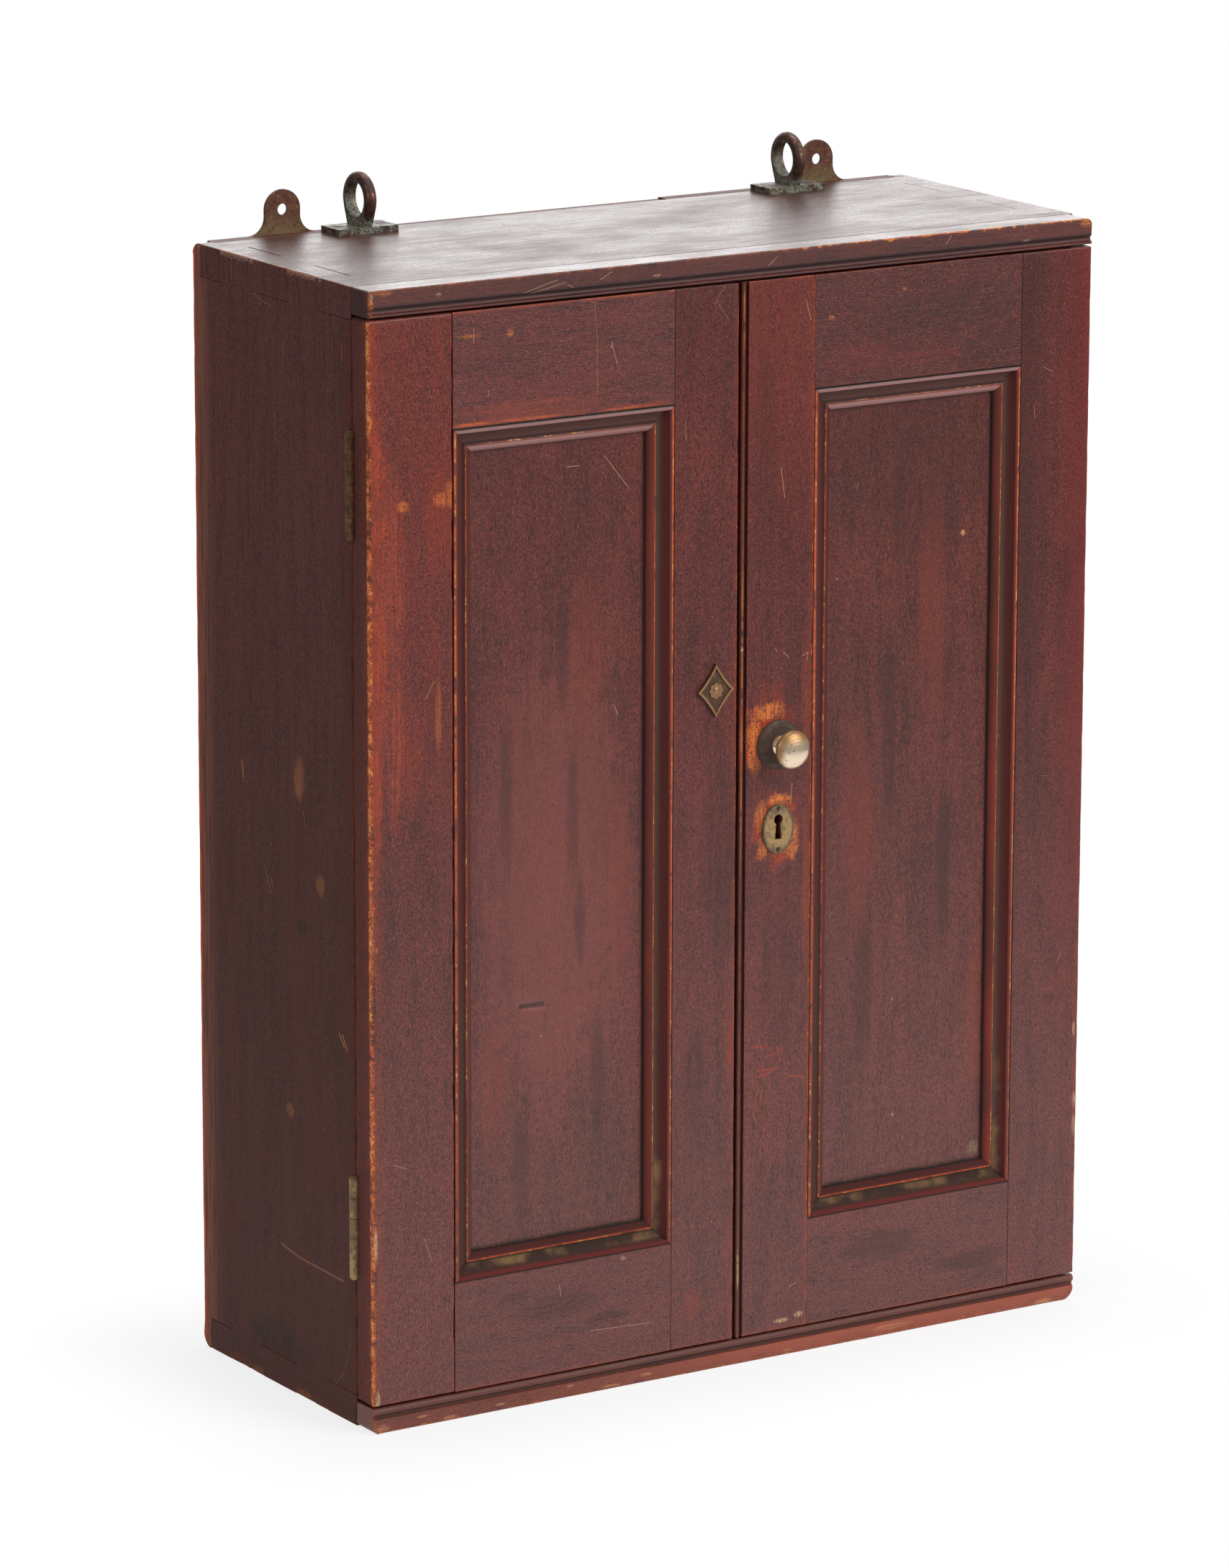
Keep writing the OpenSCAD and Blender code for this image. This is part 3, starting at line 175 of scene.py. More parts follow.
class Surface(Graph):
    """The graph of a material that the object wears. Its lengths are in millimetres."""

    def __init__(self, name):
        self.material = bpy.data.materials.new(name)
        self.material.use_nodes = True
        super().__init__(self.material.node_tree)
        place = self.node("ShaderNodeTexCoord").outputs["Object"]
        self.place = self.vector("SCALE", place, scale=1 / MM)
        split = self.node("ShaderNodeSeparateXYZ")
        self.put(split.inputs[0], self.place)
        self.x, self.y, self.z = split.outputs

    def noise(self, size, stretch=(1, 1, 1), detail=2.0, roughness=0.5, distortion=0.0, seed=0.0):
        """Noise whose grains are about size millimetres across, longer where stretch is above 1."""
        scale = [1 / (size * s) for s in stretch]
        moved = self.vector("MULTIPLY", self.place, scale)
        moved = self.vector("ADD", moved, (seed * 7.31, seed * 3.17, seed * 5.73))
        made = self.node("ShaderNodeTexNoise", noise_dimensions="3D")
        self.put(made.inputs["Vector"], moved)
        for key, value in (("Scale", 1.0), ("Detail", detail), ("Roughness", roughness),
                           ("Distortion", distortion)):
            made.inputs[key].default_value = value
        return made.outputs[0]

    def cells(self, size, stretch=(1, 1, 1), seed=0.0):
        """Distance to the nearest of scattered points, about size millimetres apart."""
        scale = [1 / (size * s) for s in stretch]
        moved = self.vector("MULTIPLY", self.place, scale)
        moved = self.vector("ADD", moved, (seed * 2.71, seed * 4.19, seed * 6.37))
        made = self.node("ShaderNodeTexVoronoi", feature="F1")
        self.put(made.inputs["Vector"], moved)
        made.inputs["Scale"].default_value = 1.0
        return made.outputs["Distance"]

    def bump(self, height, distance):
        """Height is from 0 to 1, distance in millimetres."""
        made = self.node("ShaderNodeBump")
        made.inputs["Strength"].default_value = 1.0
        made.inputs["Distance"].default_value = distance * MM
        self.put(made.inputs["Height"], height)
        return made.outputs[0]

    def finish(self, colour, roughness, normal=None, metallic=0.0, **fixed):
        shader = self.node("ShaderNodeBsdfPrincipled")
        self.put(shader.inputs["Base Color"], colour)
        self.put(shader.inputs["Roughness"], roughness)
        self.put(shader.inputs["Metallic"], metallic)
        if normal is not None:
            self.put(shader.inputs["Normal"], normal)
        for key, value in fixed.items():
            shader.inputs[key.replace("_", " ")].default_value = value
        out = self.node("ShaderNodeOutputMaterial")
        self.tree.links.new(shader.outputs[0], out.inputs["Surface"])
        return self.material


# How much longer than wide the grain is, for grain along x and along z
GRAIN = {"x": (40, 1, 1), "z": (1, 1, 40)}

# Colours of the stained wood, from its darkest film to bare wood; the doors' tones also hold the colour of a
# painted reflection of the floor
FRONT = {"dark": "3e1f1c", "mid": "6a2c2a", "warm": "943c22", "bare": "cc742e", "light": "8c4a42",
         "painted_floor_reflection": "804e48"}
PANEL = {"dark": "402320", "mid": "70332d", "warm": "88392a", "bare": "b86030", "light": "8c4c44",
         "painted_floor_reflection": "804e48"}
CASE = {"dark": "36190f", "mid": "5c2c22", "warm": "74351f", "bare": "b4622c", "light": "76402f"}
STRIP = {"dark": "3a2422", "mid": "5c302b", "warm": "7c3a26", "bare": "c4702f", "light": "7e443a"}
PALE = "d9b083"
BLACK = "1c1210"


def box_mm(*nodes):
    """The lowest and the highest corner of some nodes, in millimetres."""
    low = [min(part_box(n)[0][i] for n in nodes) / MM for i in range(3)]
    high = [max(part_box(n)[1][i] for n in nodes) / MM for i in range(3)]
    return low, high


def mark_group(name, last):
    """An empty node group with the inputs P, A, B and a last number, and the output Mask."""
    tree = bpy.data.node_groups.new(name, "ShaderNodeTree")
    for label, kind in (("P", "Vector"), ("A", "Vector"), ("B", "Vector"), (last, "Float")):
        tree.interface.new_socket(label, in_out="INPUT", socket_type="NodeSocket" + kind)
    tree.interface.new_socket("Mask", in_out="OUTPUT", socket_type="NodeSocketFloat")
    g = Graph(tree)
    return g, g.node("NodeGroupInput").outputs, g.node("NodeGroupOutput").inputs[0]


def line_group():
    """1 near the line from A to B, 0 from Width off it."""
    g, given, out = mark_group("line_mark", "Width")
    run = g.vector("SUBTRACT", given["B"], given["A"])
    rel = g.vector("SUBTRACT", given["P"], given["A"])
    share = g.math("DIVIDE", g.vector("DOT_PRODUCT", rel, run), g.vector("DOT_PRODUCT", run, run), clamp=True)
    away = g.vector("DISTANCE", rel, g.vector("SCALE", run, scale=share))
    g.put(out, g.smooth(g.math("DIVIDE", away, given["Width"]), 1.0, 0.2))
    return g.tree


def spot_group():
    """1 inside an ellipse and 0 outside, with a soft rim that Ragged moves."""
    g, given, out = mark_group("spot_mark", "Ragged")
    rel = g.vector("DIVIDE", g.vector("SUBTRACT", given["P"], given["A"]), given["B"])
    g.put(out, g.smooth(g.add(g.vector("DOT_PRODUCT", rel, rel), given["Ragged"]), 1.25, 0.2))
    return g.tree


GROUPS = {"line": line_group(), "spot": spot_group()}


class Finish:
    """Stained wood under old varnish, with its grain, its worn edges and its marks."""

    def __init__(self, node, grain, tone, seed, box=None, rough=0.34, pebble=1.0, streaks=1.0, clouds=1.0,
                 dark=0.75, **fixed):
        g, run = Surface(node + "_wood"), GRAIN[grain]
        self.g, self.node, self.seed, self.box = g, node, seed, box or box_mm(node)
        self.tone, self.rough, self.pebble, self.fixed = tone, rough, pebble, fixed
        self.streak = g.noise(1.5, run, detail=3, roughness=0.6, seed=seed)
        self.pore = g.noise(0.5, [s ** 0.75 for s in run], detail=2, seed=seed + 3)
        self.band = g.noise(9, [s ** 0.55 for s in run], detail=3, roughness=0.6, seed=seed + 1)
        self.cloud = g.noise(60, [s ** 0.2 for s in run], detail=4, roughness=0.6, seed=seed + 2)
        self.ripple = g.noise(0.9, [s ** 0.14 for s in run], detail=3, roughness=0.65, distortion=1.2,
                              seed=seed)
        self.patch = g.noise(11, detail=4, roughness=0.7, seed=seed + 4)
        self.fine = g.noise(1.1, detail=3, roughness=0.6, seed=seed + 5)
        self.chip = g.noise(4.5, detail=3, roughness=0.65, seed=seed + 6)
        rough_rim = g.add(g.times(self.streak, 1.6), g.times(self.patch, 1.6))
        self.ragged = g.less(rough_rim, 1.6)
        self.gloss, self.places = [], {}
        shade = g.add(g.times((self.cloud, 0.4, 0.66), 0.6 * clouds),
                      g.times((self.band, 0.45, 0.72), 0.6 * streaks))
        self.colour = g.blend(g.times(shade, dark), tone["mid"], tone["dark"])
        self.lay(tone["warm"], 0.55 * clouds, (self.cloud, 0.47, 0.3), (self.band, 0.35, 0.6))
        self.lay(tone["warm"], 0.3 * streaks, (self.streak, 0.52, 0.72))
        self.bare = 0.0

    def lay(self, colour, strength, *masks):
        """Lays a colour over the wood where all masks say; a mask such as "y-" is that face."""
        share = self.g.times(*[self.face(m) if isinstance(m, str) else m for m in masks], strength)
        self.colour = self.g.blend(share, self.colour, colour)
        return self

    def depth(self, where):
        """Distance from the outer face of the box that where names, such as y-."""
        axis, sign = where
        return self.g.off(getattr(self.g, axis), self.box["-+".index(sign)]["xyz".index(axis)])

    def face(self, where, depth=1.0):
        """1 on that face, and 0 from twice that depth in millimetres below it."""
        return self.g.smooth(self.depth(where), 2.0 * depth, 0.8 * depth)

    def rim(self, where):
        """Distance from the edge of two faces, such as x-y-, for points on the box."""
        return self.g.most(self.depth(where[:2]), self.depth(where[2:]))

    def film(self):
        """Fine pores and the pebbled film over the whole; on the doors also redder higher up, and a painted
        reflection of the floor that grows towards the bottom.
        """
        g = self.g
        deep = tuple(0.5 * c for c in rgb(self.tone["dark"])[:3]) + (1.0,)
        if "painted_floor_reflection" in self.tone:
            self.lay("742a20", 0.38, (g.z, 350.0, 650.0))
            # Painted reflection of the floor, paler towards the bottom
            self.lay(self.tone["painted_floor_reflection"], 0.42, (g.z, 480.0, 60.0))
        self.lay(self.tone["dark"], 0.9 * self.pebble, (self.ripple, 0.54, 0.39))
        self.lay(self.tone["light"], 0.65 * self.pebble, (self.ripple, 0.53, 0.66))
        self.lay(deep, 0.75, (self.pore, 0.52, 0.66), (self.band, 0.4, 0.6))
        return self

    def rub(self, rims, glow=0.4):
        """Wears the varnish off along edges: rims is a list of (edge, width in millimetres)."""
        g = self.g
        worn, warm = [], []
        reach = g.times((self.patch, 0.33, 0.56), g.add(0.3, g.times((self.chip, 0.5, 0.72), 0.7)))
        for where, width in rims:
            away = self.rim(where)
            worn.append(g.smooth(g.less(g.times(reach, width), away), -0.3, 0.45))
            warm.append(g.smooth(away, 3.2 * width, 0.3 * width))
        self.lay(self.tone["warm"], glow, g.most(*warm), (self.patch, 0.34, 0.6))
        arris = g.times(g.attribute("wear"), (self.patch, 0.3, 0.55))
        bare = g.times(g.most(*worn, g.times(arris, 0.8)), (self.fine, 0.28, 0.5))
        self.lay(g.blend(g.smooth(self.fine, 0.42, 0.66), self.tone["bare"], self.tone["warm"]), 1.0, bare)
        self.bare = bare
        return self

    def gap(self, where):
        """A dark line where another piece meets this one."""
        return self.lay(BLACK, 0.8, (self.rim(where), 0.95, 0.45))

    def flat(self, face):
        """The two directions of a face as one vector."""
        if face[0] not in self.places:
            made = self.g.node("ShaderNodeCombineXYZ")
            for socket, axis in zip(made.inputs, "xyz".replace(face[0], "")):
                self.g.put(socket, getattr(self.g, axis))
            self.places[face[0]] = made.outputs[0]
        return self.places[face[0]]

    def mark(self, kind, colour, strength, last, shapes, face, grained):
        """Lines or spots on one face, with grained broken up by the wood's grain."""
        g, masks, broken = self.g, [], []
        for a0, a1, b0, b1 in shapes:
            made = g.node("ShaderNodeGroup", node_tree=GROUPS[kind])
            for socket, value in zip(made.inputs, (self.flat(face), (a0, a1, 0.0), (b0, b1, 0.0), last)):
                g.put(socket, value)
            masks.append(made.outputs[0])
        if grained:
            broken = [g.smooth(self.fine, 0.3, 0.55), g.add(0.35, (self.streak, 0.4, 0.6))]
        return self.lay(colour, strength, g.most(*masks), face, *broken)

    def lines(self, colour, strength, width, segments, face="y-"):
        """Straight scratches, as (x0, z0, x1, z1) in the two directions of the face."""
        return self.mark("line", colour, strength, width, segments, face, False)

    def spots(self, colour, strength, ellipses, face="y-", ragged=1.0, grained=True):
        """Soft spots, as (x, z, half width, half height) in the two directions of the face."""
        return self.mark("spot", colour, strength, self.g.times(self.ragged, ragged), ellipses, face, grained)

    def flecks(self, seed=0.0, amount=1.0):
        """Small pale chips and fine curled scratches here and there."""
        g = self.g
        place = g.cells(17, (1, 1, 1.6), seed=seed + 1)
        some = g.smooth(g.noise(45, detail=2, seed=seed + 7), 0.52, 0.62)
        self.lay(PALE, 0.5 * amount, (place, 0.032, 0.018), some)
        curl = g.noise(60, detail=0.0, distortion=0.3, seed=seed + 9)
        thin = g.smooth(g.off(curl, 0.46), 0.0011, 0.0004)
        self.lay(PALE, 0.22 * amount, thin, (self.patch, 0.56, 0.64))
        return self

    def shine(self, mask, roughness):
        """Another roughness where a mask says."""
        self.gloss.append((mask, roughness))
        return self

    def done(self):
        """The finished material."""
        g = self.g
        roughness = g.add(g.times(self.bare, 0.2), g.times((self.ripple, 0.3, 0.7), 0.1), self.rough - 0.05)
        for mask, other in self.gloss:
            roughness = g.add(g.times(roughness, g.less(1.0, mask)), g.times(mask, other))
        height = g.add(g.times(self.ripple, 0.8 * self.pebble), g.times(self.pore, -0.3),
                       g.times(self.bare, -0.5), g.times(self.streak, 0.25))
        return g.finish(self.colour, roughness, g.bump(height, 0.3), IOR=1.5, **self.fixed)

    def board(self, slot, axis, step, width, dent, seed=None, **shape):
        """Puts the worn board with this finish in the place of its node."""
        wooden(self.node, self.done(), slot, axis, step, width, dent, self.seed if seed is None else seed,
               **shape)


def inside_wood(name, seed):
    """Plain planed cedar, as the shelves and the hidden faces have it."""
    g = Surface(name)
    run = GRAIN["x"]
    streak = g.noise(1.4, run, detail=3, roughness=0.6, seed=seed)
    band = g.noise(12, [s ** 0.5 for s in run], detail=2, seed=seed + 1)
    pore = g.noise(0.4, run, detail=2, seed=seed + 3)
    colour = g.blend(g.smooth(band, 0.35, 0.65), "8a5734", "6d4126")
    colour = g.blend(g.times((streak, 0.45, 0.7), 0.5), colour, "a06a40")
    colour = g.blend(g.times((pore, 0.55, 0.7), 0.6), colour, "4c2c1a")
    return g.finish(colour, g.add(0.55, g.times(pore, 0.2)), g.bump(g.times(pore, -1.0), 0.1))


def patina(name, clean, film, spots, seed, rough, metal, cover=0.5, green=None, crust=None, raised=None,
           relief=0.08, grit=0.1):
    """Old metal: clean metal under a film, with spots. Functions give where it is raised and green."""
    g = Surface(name)
    cloud = g.noise(5, detail=3, roughness=0.6, seed=seed)
    fine = g.noise(0.8, detail=3, roughness=0.6, seed=seed + 1)
    dot = g.cells(2.4, seed=seed)
    shade = g.smooth(g.add(g.times(cloud, 0.75), g.times(fine, 0.25)), cover - 0.12, cover + 0.12)
    if raised:
        shade = g.most(g.times(shade, 0.5), raised(g))
    colour = g.blend(shade, film, clean)
    speck = g.times((dot, 0.26, 0.12), (cloud, 0.45, 0.6))
    colour = g.blend(speck, colour, spots)
    metallic = g.times(g.add(0.45, g.times(shade, 0.55)), metal)
    if green:
        crusted = g.times(green(g), (g.noise(2.2, detail=4, roughness=0.7, seed=seed + 2), 0.38, 0.52))
        colour = g.blend(crusted, colour, crust or g.blend(g.smooth(fine, 0.4, 0.7), "3c423a", "aab09a"))
        metallic = g.times(metallic, g.less(1.0, crusted))
    roughness = g.add(rough, g.times(g.less(1.0, shade), 1.8 * grit), g.times(fine, grit))
    return g.finish(colour, roughness, g.bump(g.add(fine, g.times(cloud, 0.5)), relief), metallic)


# Meshes


def clean_copy(node):
    """The node's mesh with its doubled corners joined and its flat faces whole."""
    bm = bmesh.new()
    bm.from_mesh(NODES[node].data)
    bmesh.ops.remove_doubles(bm, verts=bm.verts, dist=0.002 * MM)
    bmesh.ops.dissolve_limit(bm, angle_limit=math.radians(0.5), verts=bm.verts, edges=bm.edges)
    return bm


def cut_plane(bm, point, normal, away=False):
    """Cuts the mesh along a plane; with away, what lies beyond it goes and the hole is closed."""
    cut = bmesh.ops.bisect_plane(bm, geom=bm.verts[:] + bm.edges[:] + bm.faces[:], dist=1e-6, plane_co=point,
                                 plane_no=normal, clear_outer=away)
    if away:
        edges = [e for e in cut["geom_cut"] if isinstance(e,
                                                          bmesh.types.BMEdge) and e.is_valid and e.is_boundary]
        bmesh.ops.edgenet_fill(bm, edges=edges)


def along(axis):
    return Vector([float(i == axis) for i in range(3)])


def slice_along(bm, axis, step):
    """Cuts the mesh across an axis every step millimetres, so that an edge can be worn unevenly along it."""
    low = min(v.co[axis] for v in bm.verts)
    high = max(v.co[axis] for v in bm.verts)
    count = max(1, round((high - low) / (step * MM)))
    normal = along(axis)
    for k in range(1, count):
        cut_plane(bm, normal * (low + (high - low) * k / count), normal)


def round_corner(bm, axes, corner, inward, radius, steps=5):
    """Rounds a corner seen along the third axis. inward: signs towards the solid, radius: millimetres."""
    radius *= MM
    centre = [corner[i] + inward[i] * radius for i in range(2)]
    for k in range(steps):
        turn = math.pi / 2 * (k + 0.5) / steps
        normal, point = Vector((0, 0, 0)), Vector((0, 0, 0))
        for i, part in enumerate((math.cos(turn), math.sin(turn))):
            normal[axes[i]] = -inward[i] * part
            point[axes[i]] = centre[i] - inward[i] * part * radius
        cut_plane(bm, point, normal, away=True)


def sharp_edges(bm, angle):
    return [e for e in bm.edges if len(e.link_faces) == 2 and e.calc_face_angle(0.0) > math.radians(angle)]


def outer_edges(bm, low, high):
    """The mesh's edges that run along the edges of its box."""
    found = []
    for e in sharp_edges(bm, 25):
        middle = (e.verts[0].co + e.verts[1].co) / 2
        on = sum(min(abs(middle[i] - low[i]), abs(middle[i] - high[i])) < 0.01 * MM for i in range(3))
        if on >= 2:
            found.append(e)
    return found


def wear_edges(bm, edges, width, dent, seed, segments=3):
    """Rounds these edges and pushes the rounding in unevenly, in millimetres. Returns the rounding's vertices."""
    made = bmesh.ops.bevel(bm, geom=edges, offset=width * MM, offset_type="OFFSET", segments=segments,
                           profile=0.5, affect="EDGES", clamp_overlap=False)
    strip = set(made["faces"])
    inner = [v for v in made["verts"] if v.is_valid and v.link_faces and all(f in strip for f in v.link_faces)]
    bm.normal_update()
    for v in inner:
        p = v.co / MM
        coarse = noise.noise(p * 0.09 + Vector((seed, 0, 0)))
        small = noise.noise(p * 0.35 + Vector((0, seed, 0)))
        v.co -= v.normal * (dent * MM) * max(0.0, 0.6 * coarse + 0.4 * small)
    return inner


def add_object(name, data):
    made = bpy.data.objects.new(name, data)
    bpy.context.scene.collection.objects.link(made)
    return made


def make_piece(node, bm, material, inner=(), smooth_angle=35):
    """Turns the mesh into an object that stands for its node and rides on the node's body."""
    name = node + "_worn"
    layer = bm.verts.layers.float.new("wear")
    for v in inner:
        if v.is_valid:
            v[layer] = 1.0
    bmesh.ops.recalc_face_normals(bm, faces=bm.faces)
    for e in bm.edges:
        e.smooth = len(e.link_faces) == 2 and e.calc_face_angle(0.0) < math.radians(smooth_angle)
    for f in bm.faces:
        f.smooth = True
    mesh = bpy.data.meshes.new(name)
    bm.to_mesh(mesh)
    bm.free()
    piece = add_object(name, mesh)
    even = piece.modifiers.new("even", "WEIGHTED_NORMAL")
    even.keep_sharp = True
    mesh.materials.append(material)
    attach(piece, NODES[node]["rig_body"])
    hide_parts(node)


def wooden(node, material, slot, axis, step, width, dent, seed, corners=(), cross=None):
    """A board with worn edges in the place of its node. Lengths are in millimetres."""
    bm = clean_copy(node)
    low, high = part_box(node)
    slice_along(bm, axis, step)
    if cross is not None:
        slice_along(bm, cross, step / 2)
    for corner in corners:
        round_corner(bm, *corner)
    inner = wear_edges(bm, outer_edges(bm, low, high), width, dent, seed)
    make_piece(node, bm, material, inner)


def dress(nodes, material):
    """Gives CAD nodes that stay as they are their material."""
    for node in nodes:
        slots = NODES[node].data.materials
        slots.clear()
        slots.append(material)


# Doors


def stile(node, seed, rims, **settings):
    """The finish of a door's upright, browner on its narrow sides."""
    f = Finish(node, "z", FRONT, seed, **settings).film()
    g = f.g
    flank = g.times((g.y, -103.6, -102.6), (g.y, -85.4, -86.2))
    f.lay("521f16", 0.8, flank, (f.cloud, 0.2, 0.4)).shine(flank, 0.85)
    return f.rub(rims)


def rail(node, seed, rims, glow=0.4, **settings):
    return Finish(node, "x", FRONT, seed, **settings).film().rub(rims, glow)


def build_left_door():
    f = stile("left_hinge_stile", 5, [("x-y-", 4.4), ("x+y-", 1.1), ("z-y-", 1.2), ("z+y-", 0.8)], clouds=0.8)
    g = f.g
    f.lay("9a3420", 0.28, (g.z, 330, 480), (f.band, 0.3, 0.6), "y-")
    uneven = g.add(g.x, g.times(f.patch, 10), g.times(f.chip, 8), g.times(f.streak, 6))
    strip = g.smooth(uneven, -240, -249)
    f.lay("a83c1c", 0.5, strip, g.add(0.2, (g.z, 270, 400)), "y-")
    f.spots("a0381c", 0.4, [(-232, 420, 10, 40), (-212, 560, 12, 40)])
    f.spots("b04a2c", 0.55, [(-245, 530, 11, 70), (-243, 430, 7, 60)])
    f.spots("c24a1e", 0.6, [
        (-254, 596, 5, 26), (-253, 470, 5, 60), (-255, 400, 4, 40), (-252, 556, 6, 10)], ragged=2)
    f.lay(FRONT["dark"], 0.45, (f.ripple, 0.52, 0.38))
    f.lay("a04a34", 0.4, (f.ripple, 0.54, 0.66))
    f.spots("d0692c", 0.8, [(-237, 570, 4.5, 4), (-205, 574, 4, 9), (-210, 571, 8, 5)], ragged=1.5)
    f.spots("b8602c", 0.5, [(-213, 440, 2.5, 24), (-243, 404, 3, 2)])
    f.lines("b4785a", 0.55, 0.5, [(-222, 452, -216, 462), (-246, 168, -236, 164), (-224, 118, -219, 104)])
    f.spots(PALE, 0.6, [(-257, 20, 2, 8), (-258, 120, 1.6, 12)])
    edge = g.add(g.x, g.times(f.chip, 7), g.times(f.fine, 6))
    f.lay("d4602a", 0.9, (edge, -252.2, -253.6), f.face("y-", 2))
    f.lay("ffb45e", 0.9, (edge, -253.2, -254.4), (f.patch, 0.4, 0.55), f.face("y-", 2))
    f.lay("3c1810", 0.6, (g.x, -256.6, -257.6), (f.chip, 0.57, 0.64), f.face("y-", 2))
    f.spots(BLACK, 0.7, [
        (-258.6, 270, 1.8, 24), (-258.6, 372, 1.4, 8), (-258, 96, 2, 10), (-259, 560, 1.2, 14)])
    f.flecks(1).board("front_wood", Z, 4, 1.4, 1.3)

    f = stile("left_meeting_stile", 8, [("x+y-", 1.6), ("x-y-", 0.9), ("z-y-", 0.8)])
    g = f.g
    f.lines(PALE, 0.47, 0.25, [(-39, 601, -39, 590), (-11, 682, -19, 671), (-17, 672, -9, 661)])
    f.lay(FRONT["dark"], 0.3, (g.z, 560, 670), "y-")
    f.spots(FRONT["dark"], 0.55, [(-12, 330, 16, 60), (-30, 180, 10, 50)])
    f.spots("9a3420", 0.35, [(-4, 205, 5, 22), (-30, 45, 8, 12)])
    f.gap("x-y-").flecks(2).board("front_wood", Z, 8, 0.6, 0.45)

    f = rail("left_top_rail", 12, [("z-y-", 1.7), ("z+y-", 0.8), ("x-y-", 0.5)], glow=0.7)
    f.spots(FRONT["bare"], 0.5, [(-191, 667, 9, 1.6), (-163, 667, 3, 2.6)])
    f.spots("d0602a", 0.75, [(-188, 614.3, 16, 1.3), (-150, 614.2, 26, 1.1), (-80, 614, 20, 0.9)])
    f.spots(FRONT["warm"], 0.6, [(-150, 620, 50, 7)])
    f.lines(PALE, 0.55, 0.22, [(-188, 672, -188, 663), (-178, 634, -178, 630), (-92, 655, -88, 641)])
    f.lines(PALE, 0.25, 0.25, [(-104, 680, -102, 657), (-102, 657, -102, 624)])
    f.spots(PALE, 0.6, [(-213, 672, 0.9, 0.9), (-92, 652, 0.7, 0.7)], ragged=0)
    f.spots(BLACK, 0.55, [(-72, 617, 9, 2.6)])
    f.gap("z-y-").flecks(3).board("front_wood", X, 9, 0.35, 0.2)

    f = rail("left_bottom_rail", 15, [("z+y-", 1), ("z-y-", 0.9), ("x-y-", 0.9)])
    f.spots(FRONT["dark"], 0.8, [(-158, 70, 14, 5), (-94, 47, 18, 4), (-130, 60, 30, 10)])
    f.spots(BLACK, 0.5, [(-160, 71, 8, 2.5)])
    f.spots(PALE, 0.5, [(-82, 83, 2.5, 1.5)])
    f.lines(PALE, 0.42, 0.33, [(-106, 40, -62, 38), (-128, 73, -127, 66)])
    f.gap("z+y-").flecks(4).board("front_wood", X, 9, 0.35, 0.2)

    f = Finish("left_panel", "z", PANEL, 18, streaks=0.9).film()
    f.spots("924e46", 0.35, [(-125, 330, 60, 150)], grained=False)
    f.spots(PANEL["dark"], 0.45, [
        (-113, 363, 5, 48), (-108, 300, 4, 34), (-160, 380, 5, 52), (-121, 466, 6, 40), (-95, 200, 6, 46),
        (-150, 150, 7, 40)], grained=False)
    f.spots(PANEL["warm"], 0.3, [(-104, 470, 12, 60), (-80, 330, 9, 70), (-170, 200, 10, 50)], grained=False)
    f.lines(PALE, 0.64, 0.25, [(-91, 584, -74, 563), (-118, 580, -109, 580), (-84, 430, -81, 424)])
    # Painted shade in the dent, and a painted highlight on its lower lip
    f.lines(BLACK, 0.8, 2.2, [(-150, 250.6, -134, 250.2)])
    f.lines(PANEL["warm"], 0.5, 1.4, [(-148, 246.6, -135, 246.4)])
    panel_dirt(f)
    panel_piece(f.flecks(5), dent=(-141, 250))


